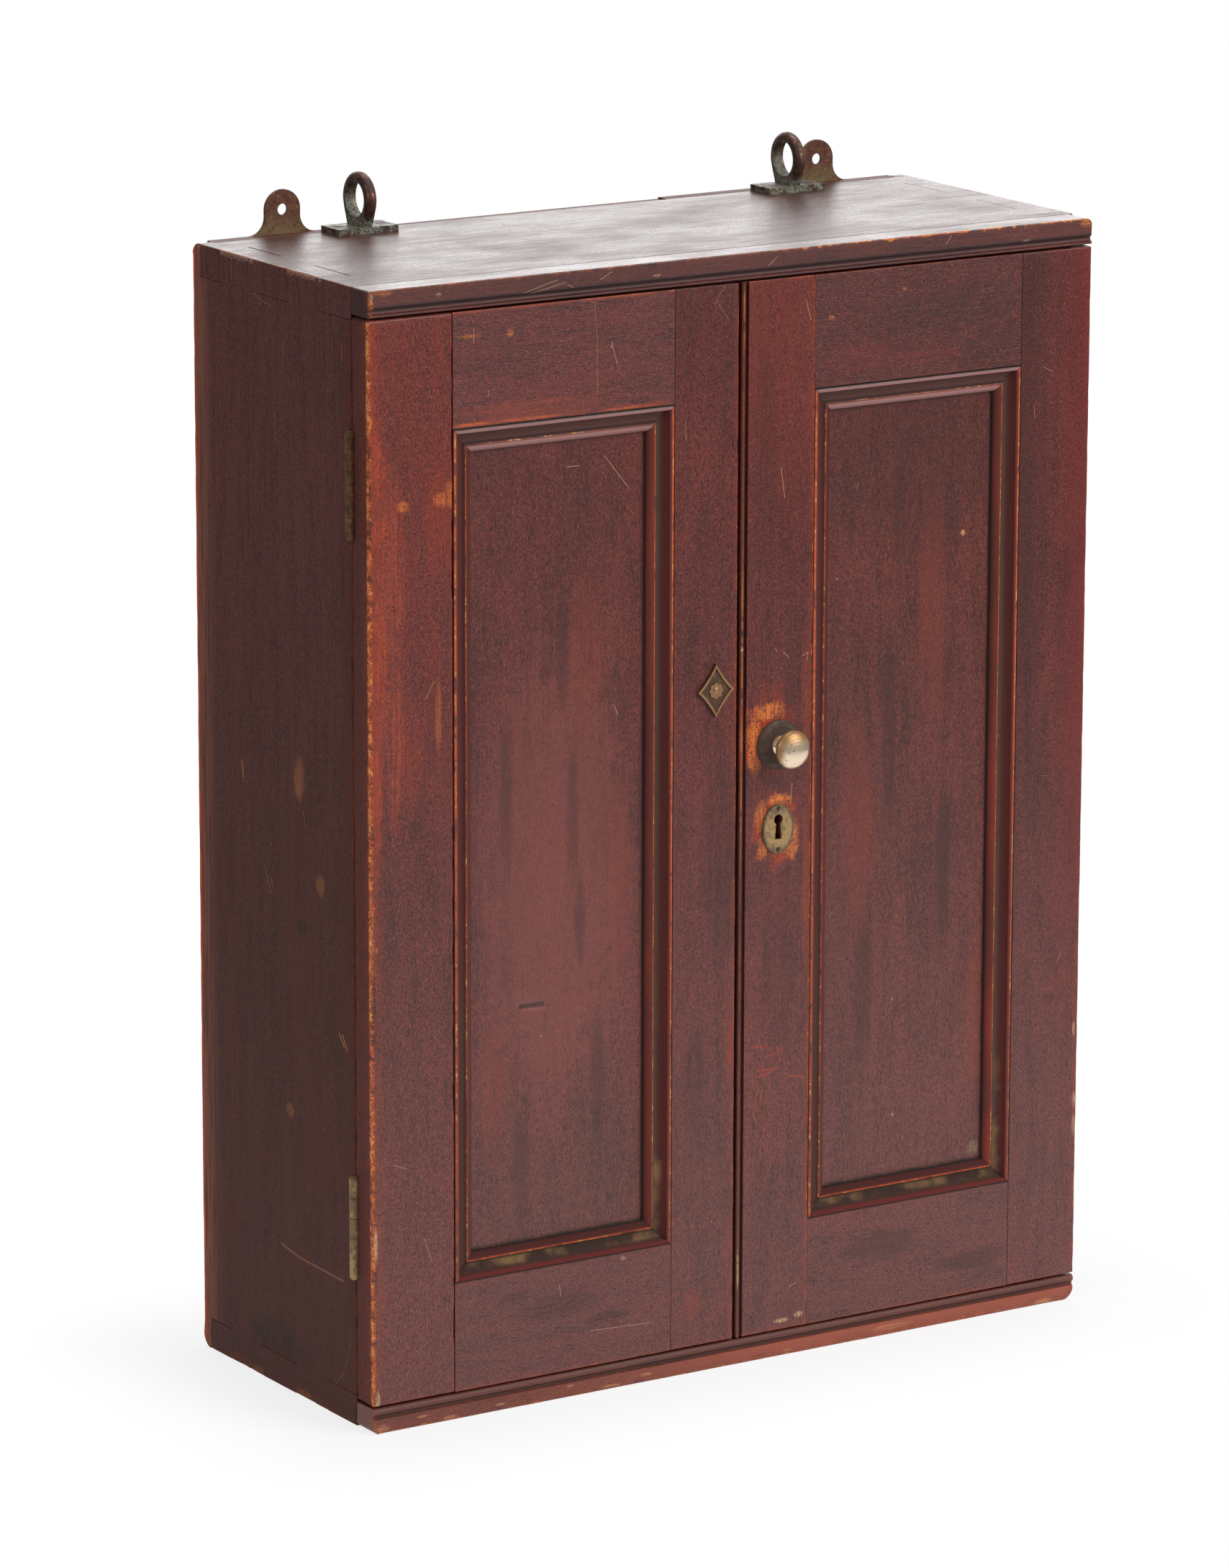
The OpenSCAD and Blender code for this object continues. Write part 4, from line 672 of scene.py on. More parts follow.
def build_right_door():
    f = stile("right_meeting_stile", 24, [("x-y-", 0.7), ("x+y-", 1.6), ("z-y-", 1.2), ("z+y-", 1)])
    g = f.g
    bead_x, groove_x = 2.7, 4.9
    groove = g.times((g.off(g.x, groove_x), 1.1, 0.5), f.face("y-", 1.4))
    crest = g.times((g.off(g.x, bead_x), 1, 0.2), (f.patch, 0.36, 0.56), f.face("y-"))
    rubbed = g.most((g.z, 634, 656), (g.off(g.z, 420), 120, 60), 0.2)
    f.lay("3c1a14", 0.6, (g.x, 6, 5), f.face("y-", 1.4))
    f.lay("8c3020", 0.3, (g.z, 460, 620), (f.band, 0.3, 0.6), "y-")
    # Painted shade: black in the groove beside the bead
    f.lay(BLACK, 0.8, groove)
    f.lay(FRONT["bare"], 0.6, crest, rubbed)
    f.spots(PALE, 0.8, [(2.6, 456, 1, 1.5), (2.6, 400, 1, 9), (2.4, 62, 0.8, 14)])
    f.spots("8c2e18", 0.75, [(22, 400, 25, 31), (28, 341, 20, 26)], ragged=2.2)
    f.spots("b44a20", 0.85, [(17, 399, 17, 26), (27, 341, 17, 23)], ragged=2.6)
    f.spots("da7a38", 0.85, [
        (11, 402, 6, 15), (21, 415, 15, 6), (12, 384, 5, 10), (17, 350, 5, 12), (40, 334, 6, 14),
        (19, 330, 5, 8), (30, 359, 9, 4)], ragged=2)
    f.spots("4a2118", 0.7, [(KNOB_X, KNOB_Z, 16.6, 16.8), (29, KEY_Z, 11.9, 16.3)], ragged=0)
    f.spots(FRONT["warm"], 0.5, [(50, 430, 4, 60), (50, 300, 3, 60)])
    f.lines("a83a28", 0.65, 0.9, [
        (12, 204, 20, 202), (22, 203, 28, 198), (28, 198, 26, 191), (24, 196, 34, 199), (31, 200, 33, 192),
        (16, 188, 31, 187), (18, 184, 27, 186), (40, 181, 50, 179)])
    f.lines(PALE, 0.64, 0.25, [
        (33, 451, 37, 447), (47, 447, 51, 449), (51, 449, 50, 444), (27, 454, 28, 452), (40, 368, 39, 355),
        (41, 44, 46, 46), (47, 668, 51, 655), (30, 566, 33, 547)])
    f.spots(PALE, 0.7, [(35, 23, 6, 1.6), (48, 25, 4, 2.2)])
    f.spots(FRONT["dark"], 0.5, [(30, 240, 14, 60), (18, 560, 10, 90)])
    f.flecks(6).board("front_wood", Z, 8, 0.4, 0.3)

    f = stile("right_hinge_stile", 27, [("x+y-", 2), ("x-y-", 0.5), ("z-y-", 0.7), ("z+y-", 0.8)], clouds=1.2)
    g = f.g
    f.lay("70221f", 0.55, (g.x, 230, 256), (g.z, 120, 420), "y-")
    f.lay(FRONT["dark"], 0.6, (g.x, 236, 214), (g.z, 260, 560), "y-")
    f.spots(BLACK, 0.45, [(243, 478, 9, 14), (216, 400, 4, 40)])
    f.spots(PALE, 0.65, [(258, 133, 1.4, 6), (258, 116, 1.4, 8), (257, 180, 1.2, 5)])
    f.lines(PALE, 0.51, 0.22, [(224, 610, 232, 606), (218, 586, 219, 578), (246, 232, 243, 226)])
    f.gap("x-y-").flecks(7, 1.3).board("front_wood", Z, 7, 0.9, 0.8)

    f = rail("right_top_rail", 30, [("z-y-", 1.2), ("z+y-", 0.8)], glow=0.6, clouds=1.1, dark=0.85)
    g = f.g
    f.lay("461612", 0.55, "y-").lay(FRONT["dark"], 0.4, (f.ripple, 0.5, 0.38))
    f.lay("94443a", 0.6, (f.ripple, 0.54, 0.64), (f.patch, 0.36, 0.55))
    f.lay("2e100e", 0.5, (f.cloud, 0.5, 0.36), (f.chip, 0.45, 0.6), "y-")
    f.spots("b4623c", 0.7, [(66, 655, 2.6, 1.6), (120, 668, 2, 1.4)])
    f.spots("341a1b", 0.5, [(150, 652, 60, 16), (190, 628, 30, 12)])
    f.spots("7a2a22", 0.35, [(84, 630, 30, 12), (130, 625, 40, 5)])
    f.gap("z-y-").flecks(8).board("front_wood", X, 9, 0.35, 0.2)

    f = rail("right_bottom_rail", 33, [("z+y-", 0.8), ("z-y-", 0.8), ("x-y-", 0.7)])
    f.spots(FRONT["dark"], 0.5, [(110, 60, 34, 9), (180, 40, 28, 8)], grained=False)
    f.gap("z+y-").flecks(9).board("front_wood", X, 9, 0.35, 0.2)

    f = Finish("right_panel", "z", PANEL, 36, streaks=0.9).film()
    f.spots(PANEL["dark"], 0.45, [
        (124, 528, 5, 60), (118, 391, 6, 70), (160, 300, 6, 60), (100, 220, 7, 60)], grained=False)
    f.spots(PANEL["warm"], 0.3, [(150, 470, 12, 80), (95, 330, 12, 80), (185, 200, 8, 60)], grained=False)
    f.spots(PANEL["dark"], 0.35, [(132, 560, 70, 70)], grained=False)
    f.spots("cc9468", 0.9, [(172, 509, 1.9, 2.1)], ragged=0)
    f.spots(PALE, 0.9, [(78, 490, 0.9, 0.9), (124, 141, 0.7, 1.3)], ragged=0)
    f.spots("8e7d62", 0.5, [(186, 110, 6, 5)])
    panel_dirt(f)
    panel_piece(f.flecks(10))


def panel_dirt(f):
    """Brown dirt along the moulding, most at the bottom."""
    g = f.g
    low, high = box_mm(f.node.replace("panel", "moulding"))
    away = g.least(g.less(g.x, low[0] + MOULDING), g.less(high[0] - MOULDING, g.x))
    rise = g.less(g.z, low[2] + MOULDING)
    front = f.face("y-", 2)
    f.lay("35231b", 0.6, (away, 2.2, 0.2), (f.patch, 0.3, 0.6), front)
    f.lay("352a1c", 0.8, (rise, 2.6, 0.4), g.add(0.4, (f.patch, 0.4, 0.6)), front)
    f.shine(g.most((away, 2.2, 0.2), (rise, 2.6, 0.4)), 0.7)


def panel_piece(f, dent=None):
    """A door's panel, slightly uneven as a planed board is, with a dent where one is given."""
    bm = clean_copy(f.node)
    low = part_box(f.node)[0]
    slice_along(bm, X, 9)
    slice_along(bm, Z, 12)
    if dent:
        for axis, middle, reach, count in ((X, dent[0], 15, 20), (Z, dent[1], 6, 12)):
            normal = along(axis)
            for k in range(count + 1):
                cut_plane(bm, normal * (middle - reach + 2 * reach * k / count) * MM, normal)
    for v in bm.verts:
        if abs(v.co.y - low.y) < 0.01 * MM:
            p = v.co / MM
            v.co.y += 0.12 * MM * (1 + noise.noise(Vector((p.x * 0.03, f.seed, p.z * 0.012))))
            if dent:
                across, up = (p.x - dent[0]) / 12, (p.z - dent[1] + 0.06 * (p.x - dent[0])) / 3
                v.co.y += 1.1 * MM * math.exp(-across ** 4 - up ** 2)
    make_piece(f.node, bm, f.done(), smooth_angle=50)


def moulding_finish(side, seed):
    """Dark in the cove, redder on the ovolo, bared along the edges, dusty at the bottom. Each length also gets
    painted light by the way it faces: a painted reflection on the top length, painted shade on the bottom length
    and on the uprights' ovolos.
    """
    f = Finish(side + "_moulding", "z", STRIP, seed, rough=0.5, pebble=0.6).film()
    g = f.g
    low, high = f.box
    dx = g.least(g.off(g.x, low[0]), g.off(g.x, high[0]))
    dz = g.least(g.off(g.z, low[2]), g.off(g.z, high[2]))
    u = g.least(dx, dz)

    def band(at, reach, full):
        """1 along the moulding, at that distance from its outer edge."""
        return g.smooth(g.off(u, at), reach, full)

    # The cove's film is brown and the ovolo's red. What faces up, down or sideways is painted apart: painted
    # reflection on the top length, painted shade on the bottom length and the uprights
    upright = g.smooth(g.less(dz, dx), -0.2, 0.2)
    level = g.less(1, upright)
    head = g.times(level, (g.z, 340, 360))
    foot = g.times(level, (g.z, 360, 340))
    middle = (low[0] + high[0]) / 2
    near = g.times(upright, (g.x, middle + 5, middle - 5))
    away = g.times(upright, (g.x, middle - 5, middle + 5))
    ovolo = g.smooth(u, 10.8, 11.8)
    f.lay("54201a", 0.85, band(7.2, 4.6, 2.6))
    f.lay("463a2e", 0.7, band(9, 1.8, 0.7), (f.patch, 0.3, 0.5), (g.z, 340, 220))
    f.lay("4a3a2c", 0.75, away, band(8.4, 2.2, 1), (f.patch, 0.25, 0.5))
    f.lay("822a18", 0.85, ovolo)
    # Painted shade: darker ovolos on both uprights, and a painted shadow in the left upright's outer step
    f.lay("4a150f", 0.8, near, ovolo)
    f.lay("4e1c12", 0.75, away, ovolo, (f.cloud, 0.35, 0.6))
    f.lay("24100c", 0.8, near, band(3.6, 1, 0.5))
    f.lay("78241a", 0.5, band(2.6, 1.6, 0.6))
    # Painted reflection on the top length: a greyer cove, a painted shadow line above its arris, and pink painted
    # highlights on its ovolo and bead
    f.lay("573a34", 0.75, head, band(7.4, 4.2, 3))
    f.lay("2c1612", 0.8, head, band(9.9, 1.1, 0.6))
    f.lay("a07470", 0.85, head, g.most((u, 11.4, 12.2), band(2, 1, 0.5)))
    # Painted shade on the bottom length: a darker cove, ovolo and bead
    f.lay("33231a", 0.85, foot, band(7, 4.4, 3))
    f.lay("3a0e08", 0.9, foot, (u, 11.6, 13))
    f.lay("5c160e", 0.85, foot, (u, 3.4, 2.6))
    dusty = g.times(band(7, 3.8, 1), (g.noise(16, detail=2.5, seed=seed), 0.4, 0.7), g.add(0.4, f.fine))
    lower = g.times((g.z, low[2] + 100, low[2] + 40), (g.x, high[0] - 18, high[0] - 14), upright)
    f.lay("8e6c46", 1, dusty, g.add(g.times(foot, 0.85), g.times(lower, 0.8)))
    worn = g.smooth(f.patch, 0.36, 0.52)
    crest = g.times(band(0.9, 0.95, 0.3), g.add(0.25, g.times(worn, 0.75)))
    crest = g.most(crest, g.times(away, band(1.2, 1.2, 0.4), g.add(0.1, g.times(worn, 0.55))))
    arris = g.times(band(11, 0.6, 0.15), g.add(0.15, g.times(worn, 0.85)))
    rise = g.add(0.5, g.times((g.z, 180, 420), 0.5))
    f.lay("d05c28", 0.95, crest, g.add(g.times(upright, rise), g.times(head, 0.05)))
    f.lay("cc5e28", 0.9, arris, g.add(g.times(near, 0.55), g.times(away, 0.8), g.times(foot, 0.98),
                                      g.times(head, 0.25)))
    pale = g.times(g.most(g.times(upright, band(1, 0.7, 0.2)), band(11, 0.6, 0.1)), (f.chip, 0.54, 0.62),
                   (f.patch, 0.4, 0.56))
    f.lay("e2a858", 0.8, pale)
    # Dark joints at the mitres and along the panel's edge, and along the outer edge a dark line that is partly a
    # joint and partly painted shadow, wider on the top and bottom lengths
    wide = g.add(0.5, g.times(level, 0.6))
    joint_and_shadow_lines = g.most((g.math("DIVIDE", u, wide), 1, 0.4), (u, 15.2, 15.8), (g.off(dx, dz), 0.4, 0.1))
    f.lay(BLACK, 0.85, joint_and_shadow_lines)
    # Painted shade: a dark line on the bottom length's ovolo
    f.lay(BLACK, 0.45, foot, band(12.4, 0.7, 0.2))
    f.shine(band(7, 4.6, 3.2), 0.85).shine(g.times(head, (u, 10.9, 11.3)), 0.3)
    f.shine(g.times(away, ovolo), 0.8).shine(g.times(head, (u, 3.4, 2.6)), 0.32).shine(foot, 0.9)
    f.flecks(seed + 2, 0.8)
    return f


def along_moulding(edge):
    """Whether an edge lies on a moulding's front and runs along one of its lengths."""
    run = edge.verts[0].co - edge.verts[1].co
    front = (edge.verts[0].co.y + edge.verts[1].co.y) / 2 < -97.5 * MM
    return front and 2 * MM < run.length and sum(abs(a) > 0.9 for a in run.normalized()) == 1


def build_mouldings():
    for side, seed in (("left", 41), ("right", 44)):
        node = side + "_moulding"
        f = moulding_finish(side, seed)
        if side == "left":
            f.spots(PALE, 0.8, [(-162, 598, 4, 1.6)])
        bm = clean_copy(node)
        slice_along(bm, X, 9)
        slice_along(bm, Z, 9)
        wear_edges(bm, [e for e in sharp_edges(bm, 40) if along_moulding(e)], 0.3, 0.25, seed, segments=2)
        make_piece(node, bm, f.done(), smooth_angle=40)


# Case


def tail_outlines(g):
    """Fine lines round the dovetails that show on the top face."""
    masks = []
    for side in (-1, 1):
        end = g.smooth(g.times(g.x, side), INSIDE - 1, INSIDE - 0.4)
        for y in TAILS:
            flank = g.smooth(g.off(g.y, y), 0.55, 0.15)
            masks.append(g.times(flank, end))
        between = g.most(*[g.smooth(g.off(g.y, (TAILS[i] + TAILS[i + 1]) / 2), 20.6, 20.4) for i in (0, 2)])
        masks.append(g.times((g.off(g.x, side * INSIDE), 0.5, 0.15), between))
    return g.most(*masks)


def on_top(g):
    """1 on the case's top face."""
    return g.smooth(g.z, 699.1, 699.6)


def top_face(f):
    """The glossy top face, with its grain along x and end grain over the sides."""
    g = f.g
    stroke = g.noise(4, (9, 1, 1), detail=5, roughness=0.75, seed=5)
    broad = g.noise(40, (2, 1, 1), detail=4, roughness=0.65, seed=6)
    hair = g.noise(0.9, (50, 1, 1), detail=2, seed=7)
    ends = g.smooth(g.math("ABSOLUTE", g.x), INSIDE - 2, INSIDE + 1)
    top = g.blend(g.smooth(stroke, 0.4, 0.64), "55372f", "3c2621")
    top = g.blend(g.times((hair, 0.5, 0.7), 0.4), top, "2a1917")
    top = g.blend(g.times(ends, (g.noise(1.3, detail=3, seed=8), 0.45, 0.62), 0.3), top, "2c1b18")
    dull = g.add(0.2, g.times((stroke, 0.38, 0.75), 0.07), g.times((broad, 0.35, 0.7), 0.12),
                 g.times((hair, 0.45, 0.75), 0.07), g.times((f.fine, 0.4, 0.7), 0.1))
    f.lay(top, 1, on_top(g)).shine(on_top(g), dull)


def case_finish(node, seed, box=None):
    """The case's stain: grain upwards and dull on the sides, grain along x and glossy on the top face. The left
    face also gets a painted reflection higher up and painted highlights on its pebbled film.
    """
    f = Finish(node, "z", CASE, seed, box, rough=0.62, Specular_IOR_Level=0.2)
    g = f.g
    left = g.smooth(g.x, -259, -259.5)
    # Painted reflection: a paler film on the upper part of the left face; the next line makes it darker towards
    # the bottom
    f.lay("7a4a4a", 0.5, (g.z, 250, 600), left)
    f.lay("481a0c", 0.5, (g.z, 380, 40), left)
    f.lay("2c1510", 0.5, (f.streak, 0.5, 0.64), left)
    f.film()
    # Painted highlights on the crests of the left face's pebbled film
    f.lay("946a62", 0.3, (f.ripple, 0.54, 0.68), left, (f.cloud, 0.36, 0.6))
    top_face(f)
    f.lay(BLACK, 0.35, on_top(g), tail_outlines(g))
    f.spots(BLACK, 0.85, [
        (-192, 74, 3.2, 1.6), (-204, -29, 2, 1.4), (140, 52, 3, 1.6), (122, -21, 2, 1.2), (-87, 20, 2, 1.2)],
            "z+", ragged=0)
    f.lines(BLACK, 0.4, 0.4, [(88, -32, 244, -38)], "z+")
    f.lines(PALE, 0.3, 0.3, [
        (-60, 20, -20, 12), (60, -40, 110, -52), (150, 40, 190, 32), (-150, -60, -120, -50)], "z+")
    return f


def build_case():
    outer = box_mm("side_left", "side_right", "top_board", "bottom_board")
    f = case_finish("side_left", 51)
    g = f.g
    # Pale teeth along the left face's top edge: worn chips, with painted highlights on them
    teeth = g.smooth(g.less(g.times((f.fine, 0.35, 0.65), 4), f.rim("x-z+")), 0, 0.5)
    f.lay("c09c8a", 0.85, teeth, (f.patch, 0.36, 0.46))
    f.lay("9c6450", 0.62, (g.y, 78, 100), (f.streak, 0.35, 0.6), "x-")
    f.lay("4c1a10", 0.4, (g.y, -64, -80), "x-")
    f.rub([("x-y+", 3), ("x-z+", 1.4), ("x-z-", 3.2), ("x-y-", 0.8)], glow=0.6)
    f.lay("c4501f", 0.85, (f.rim("x-y+"), 4.4, 1.8), g.add(0.55, (f.patch, 0.4, 0.55)))
    f.lines(BLACK, 0.85, 0.6, [(21, 698, 15, 680), (-20, 698, -27, 679), (-58, 690, -66, 660)], "x-")
    f.lines(PALE, 0.35, 0.3, [
        (30, 680, 20, 676), (20, 676, 10, 675), (57, 697, 57, 685), (6, 611, 5, 593), (-5, 656, -5, 647),
        (23, 328, 15, 312), (-25, 372, -27, 362)], "x-")
    f.lines(CASE["bare"], 0.7, 0.6, [(-74, 664, -74, 654), (15, 322, 13, 316)], "x-")
    f.lines("9a6850", 0.6, 1.1, [(6, 92, -16, 89), (-16, 89, -69, 88)], "x-")
    f.lines("9a7050", 0.4, 0.4, [(-54, 15, -68, 28), (-68, 28, -76, 44), (-76, 44, -78, 60)], "x-")
    f.spots("9a6236", 0.8, [(-20, 390, 7, 15), (-45, 330, 6, 8), (-6, 180, 5, 5)], "x-")
    f.spots(BLACK, 0.7, [
        (-22, 299, 8, 6), (26, 94, 3, 3), (19, 111, 3, 4), (-61, 138, 2.5, 4), (10, 30, 40, 14)], "x-")
    f.lines("c07c4a", 0.8, 0.8, [(50, 388, 48, 378), (-66, 243, -72, 236), (-70, 243, -76, 234)], "x-")
    f.spots(CASE["bare"], 0.6, [(90, 4, 10, 3), (30, 3, 14, 2), (-20, 3, 12, 2), (-60, 3, 12, 2.5)], "x-")
    f.flecks(11, 0.8).board("case_wood", Z, 8, 1.2, 1.4, cross=Y,
                            corners=[((Y, Z), (BACK, 0), (-1, 1), 9), ((Y, Z), (BACK, TOP), (-1, -1), 8)])

    f = case_finish("side_right", 51)
    f.rub([("x+y+", 2), ("x+z+", 1.6), ("x+z-", 2.2), ("x+y-", 0.8)], glow=0.5)
    f.lines(PALE, 0.35, 0.3, [(40, 560, 30, 520), (-30, 300, -22, 270), (10, 130, -14, 126)], "x+")
    f.spots(BLACK, 0.5, [(20, 420, 8, 10), (-40, 200, 6, 8)], "x+")
    f.flecks(12, 1).board("case_wood", Z, 8, 1.1, 0.9, seed=54, cross=Y,
                          corners=[((Y, Z), (BACK, 0), (-1, 1), 6), ((Y, Z), (BACK, TOP), (-1, -1), 4)])

    f = case_finish("top_board", 51, outer).rub([("x-z+", 1), ("x+z+", 1.5)]).flecks(13, 0.8)
    f.board("case_wood", X, 14, 0.7, 0.5, seed=57)

    f = case_finish("bottom_board", 51, outer).rub([("x-z-", 2), ("x+z-", 2)])
    f.board("case_wood", X, 14, 0.9, 0.6, seed=60)

    for k, node in enumerate(("back_board_left", "back_board_middle", "back_board_right")):
        f = Finish(node, "z", CASE, 63 + k, rough=0.6, streaks=1.3).film()
        f.rub([("y+z+", 1.2), ("y+z-", 1.6), ("x-y+", 0.6), ("x+y+", 0.6)]).flecks(14 + k, 0.8)
        f.board("case_wood", Z, 12, 0.5, 0.4)


def build_strips():
    tone = dict(STRIP, mid="5c261f", dark="3a1c18")
    f = Finish("front_strip_top", "x", tone, 71, rough=0.55, pebble=0.7).film()
    g = f.g
    f.lay("3a221c", 0.8, "x-").shine(f.face("x-"), 0.85)
    top_face(f)
    right = g.smooth(g.x, -20, 90)
    patchy = g.times((f.patch, 0.33, 0.55), g.add(0.25, g.times((f.chip, 0.48, 0.7), 0.75)))
    f.lay("2e1c1a", 0.75, (g.off(g.z, 688.8), 2.4, 1.2), f.face("y-", 3))
    f.rub([("z+y-", 1), ("x-y-", 2.2), ("x+y-", 2.4), ("z+x+", 2)])
    edge = f.rim("z+y-")
    f.lay(STRIP["bare"], 0.9, (g.less(g.times(patchy, 2.4), edge), -0.2, 0.4), g.add(0.12, right))
    f.lines(PALE, 0.51, 0.28, [
        (-154, 689.5, -130, 695.5), (-150, 688.5, -124, 693.5), (-123, 692, -119, 690), (-100, 693, -92, 697),
        (20, 691, 26, 696), (150, 693, 154, 698)])
    f.spots(FRONT["bare"], 0.7, [(-258, 690, 2, 6), (-250, 698, 7, 2), (255, 697, 5, 3)], ragged=1.6)
    f.spots(PALE, 0.5, [(-258, 696, 1.5, 3), (-212, 694, 2, 1), (-60, 692, 3, 1), (210, 690, 3, 1)])
    f.flecks(17, 1.2).board("front_wood", X, 7, 0.7, 0.7,
                            corners=[((X, Z), (SIDE, TOP), (-1, -1), 4.5), ((X, Z), (-SIDE, TOP), (1, -1), 2)])

    tone = dict(STRIP, mid="84402f", dark="542a22")
    f = Finish("front_strip_bottom", "x", tone, 74, rough=0.48).film()
    g = f.g
    # Painted highlight along the strip's step, stronger to the right
    f.lay("b0583f", 0.6, (g.x, -160, 60), (g.z, 10, 8.4), "y-")
    f.lay(BLACK, 0.7, (g.off(g.z, 10.4), 1.3, 0.6), f.face("y-", 2))
    f.lay("4a2a26", 0.5, (g.off(g.z, 14), 2.6, 1.4), f.face("y-", 3))
    f.rub([("z-y-", 2.4), ("x-y-", 2.6), ("x+y-", 3), ("z-x+", 3)], glow=0.6)
    f.spots("c88a5c", 0.6, [
        (-254, 3, 5, 3), (-206, 2, 6, 1.5), (120, 5, 16, 2), (236, 2, 10, 2), (-226, 6, 5, 1), (-170, 4, 4, 1),
        (-120, 7, 3, 1), (-64, 5, 5, 1), (-90, 2, 8, 1), (40, 3, 4, 1)])
    f.spots(BLACK, 0.6, [(-150, 3, 3, 1.5), (-70, 2, 5, 1.2), (20, 3, 4, 1)])
    f.flecks(18, 1.2).board("front_wood", X, 7, 0.9, 0.9,
                            corners=[((X, Z), (SIDE, 0), (-1, 1), 9), ((X, Z), (-SIDE, 0), (1, 1), 4)])


def build_shelves():
    for k, node in enumerate(("shelf_lower", "shelf_middle", "shelf_upper")):
        wooden(node, inside_wood(node + "_wood", 2 * k), "inside_wood", X, 15, 0.6, 0.3, k)


# Fittings


def ring_green(x):
    """Green crust in the ring's bore, at its neck and on its foot."""
    def mask(g):
        bore = g.add(g.math("POWER", g.less(g.y, RING_Y), 2), g.math("POWER", g.less(g.z, RING_Z), 2))
        inner = g.times((bore, 175, 130), (g.z, 735, 712))
        neck = g.times((g.z, 713, 706), (g.off(g.x, x), 12, 6))
        base = g.times((g.z, 705.5, 704), (g.noise(5, detail=3, seed=x), 0.42, 0.56))
        return g.most(g.times(inner, 0.75), g.times(neck, 0.9), g.times(base, 0.8))
    return mask


def plate_oval(g):
    """How far out a point of the keyhole plate lies, 1 at its rim."""
    half_width, half_height = 11.2, 15.5
    u = g.math("DIVIDE", g.off(g.x, KNOB_X), half_width)
    w = g.math("DIVIDE", g.off(g.z, KEY_Z), half_height)
    return g.math("SQRT", g.add(g.times(u, u), g.times(w, w)))


def plate_middle(g):
    """The keyhole plate's brighter middle."""
    return g.times((plate_oval(g), 0.95, 0.82), (g.noise(3, detail=3, seed=12), 0.3, 0.55))


def plate_tarnish(g):
    """Dark on the keyhole plate's upper and lower ends and along its rim."""
    ends = g.smooth(g.off(g.z, KEY_Z - 1), 8, 12.5)
    return g.times(g.most(g.times(ends, 0.8), (plate_oval(g), 0.84, 0.97)), 0.85)


def knob_painted_reflection(g):
    """The knob's pale part. Its top and its left rim are painted darker and browner: a painted reflection of the
    dim room and of the orange door.
    """
    wave = g.times(g.noise(6, seed=3), 3)
    return g.times((g.add(g.x, wave), 19.5, 24), (g.add(g.z, wave), 403, 394))


def hinge_sheen(g):
    """The hinges' brighter parts, between winding dull veins."""
    return g.smooth(g.off(g.noise(14, seed=31), 0.5), 0.02, 0.09)


def build_fittings():
    for node, x in (("ring_plate_left", -153.5), ("ring_plate_right", 160.5)):
        dress([node], patina(node + "_brass", "6e4838", "3e2822", "8e8a70", x, 0.34, 0.7, 0.54,
                             green=ring_green(x)))
    dress(["hanging_plate_left", "hanging_plate_right"],
          patina("hanging_plate_brass", "6e4430", "552f22", "a8906a", 2, 0.5, 0.45, crust="6b5a34",
                 green=lambda g: g.smooth(g.z, 716, 700)))
    leaves = [n for n in NODES if "leaf" in n]
    dress(leaves + ["hinge_pins", "turn_tongue", "bolt_keepers", "lock_keeper", "upper_bolt_plate",
                    "lower_bolt_plate"],
          patina("hinge_brass", "a4875c", "705844", "4a3426", 3, 0.45, 0.6, relief=0.02, raised=hinge_sheen))
    dress([n for n in leaves if "upper" in n],
          patina("dull_hinge_brass", "80582f", "4a2e1c", "2a1c14", 9, 0.45, 0.35, 0.52, relief=0.02))
    # The knob's top and left rim carry a painted reflection, darker and browner
    dress(["knob", "upper_bolt", "lower_bolt", "lock_bolt"],
          patina("knob_brass", "f2dcc0", "a88050", "6c5038", 4, 0.3, 0.95, 0.9, relief=0.0008, grit=0.03,
                 raised=knob_painted_reflection))
    dress(["knob_rose", "front_pins"], patina("rose_brass", "6a5240", "483830", "6e5c48", 6, 0.45, 0.6, 0.6,
                                              relief=0.02))
    dress(["escutcheon"], patina("escutcheon_brass", "b8986c", "7a5c3c", "5a5444", 7, 0.34, 0.7, relief=0.02,
                                 green=plate_tarnish, crust="423e34", raised=plate_middle))
    dress(["ornament"], patina("ornament_brass", "a8805a", "38231a", "4a3826", 8, 0.38, 0.75, 0.6,
                               raised=lambda g: g.smooth(g.y, -105.9, -107.2)))
    dress([n for n in NODES if n.endswith("_screws")] + ["lock_case", "lock_cap", "lock_spring"],
          patina("old_iron", "6a655c", "4a3c32", "5a3420", 5, 0.5, 0.8))


# Stage: floor, world, lamps and camera

WHITE = (1, 1, 1, 1)

# Strength of the dim room
ROOM = 0.12


def mixed(g, share, first, second, output):
    """Two shaders, each as (kind, settings), mixed by a share into the output."""
    mix = g.node("ShaderNodeMixShader")
    g.put(mix.inputs["Fac"], share)
    for socket, (kind, settings) in zip(mix.inputs[1:], (first, second)):
        shader = g.node(kind)
        for key, value in settings.items():
            shader.inputs[key].default_value = value
        g.put(socket, shader.outputs[0])
    g.put(g.node(output).inputs["Surface"], mix.outputs[0])


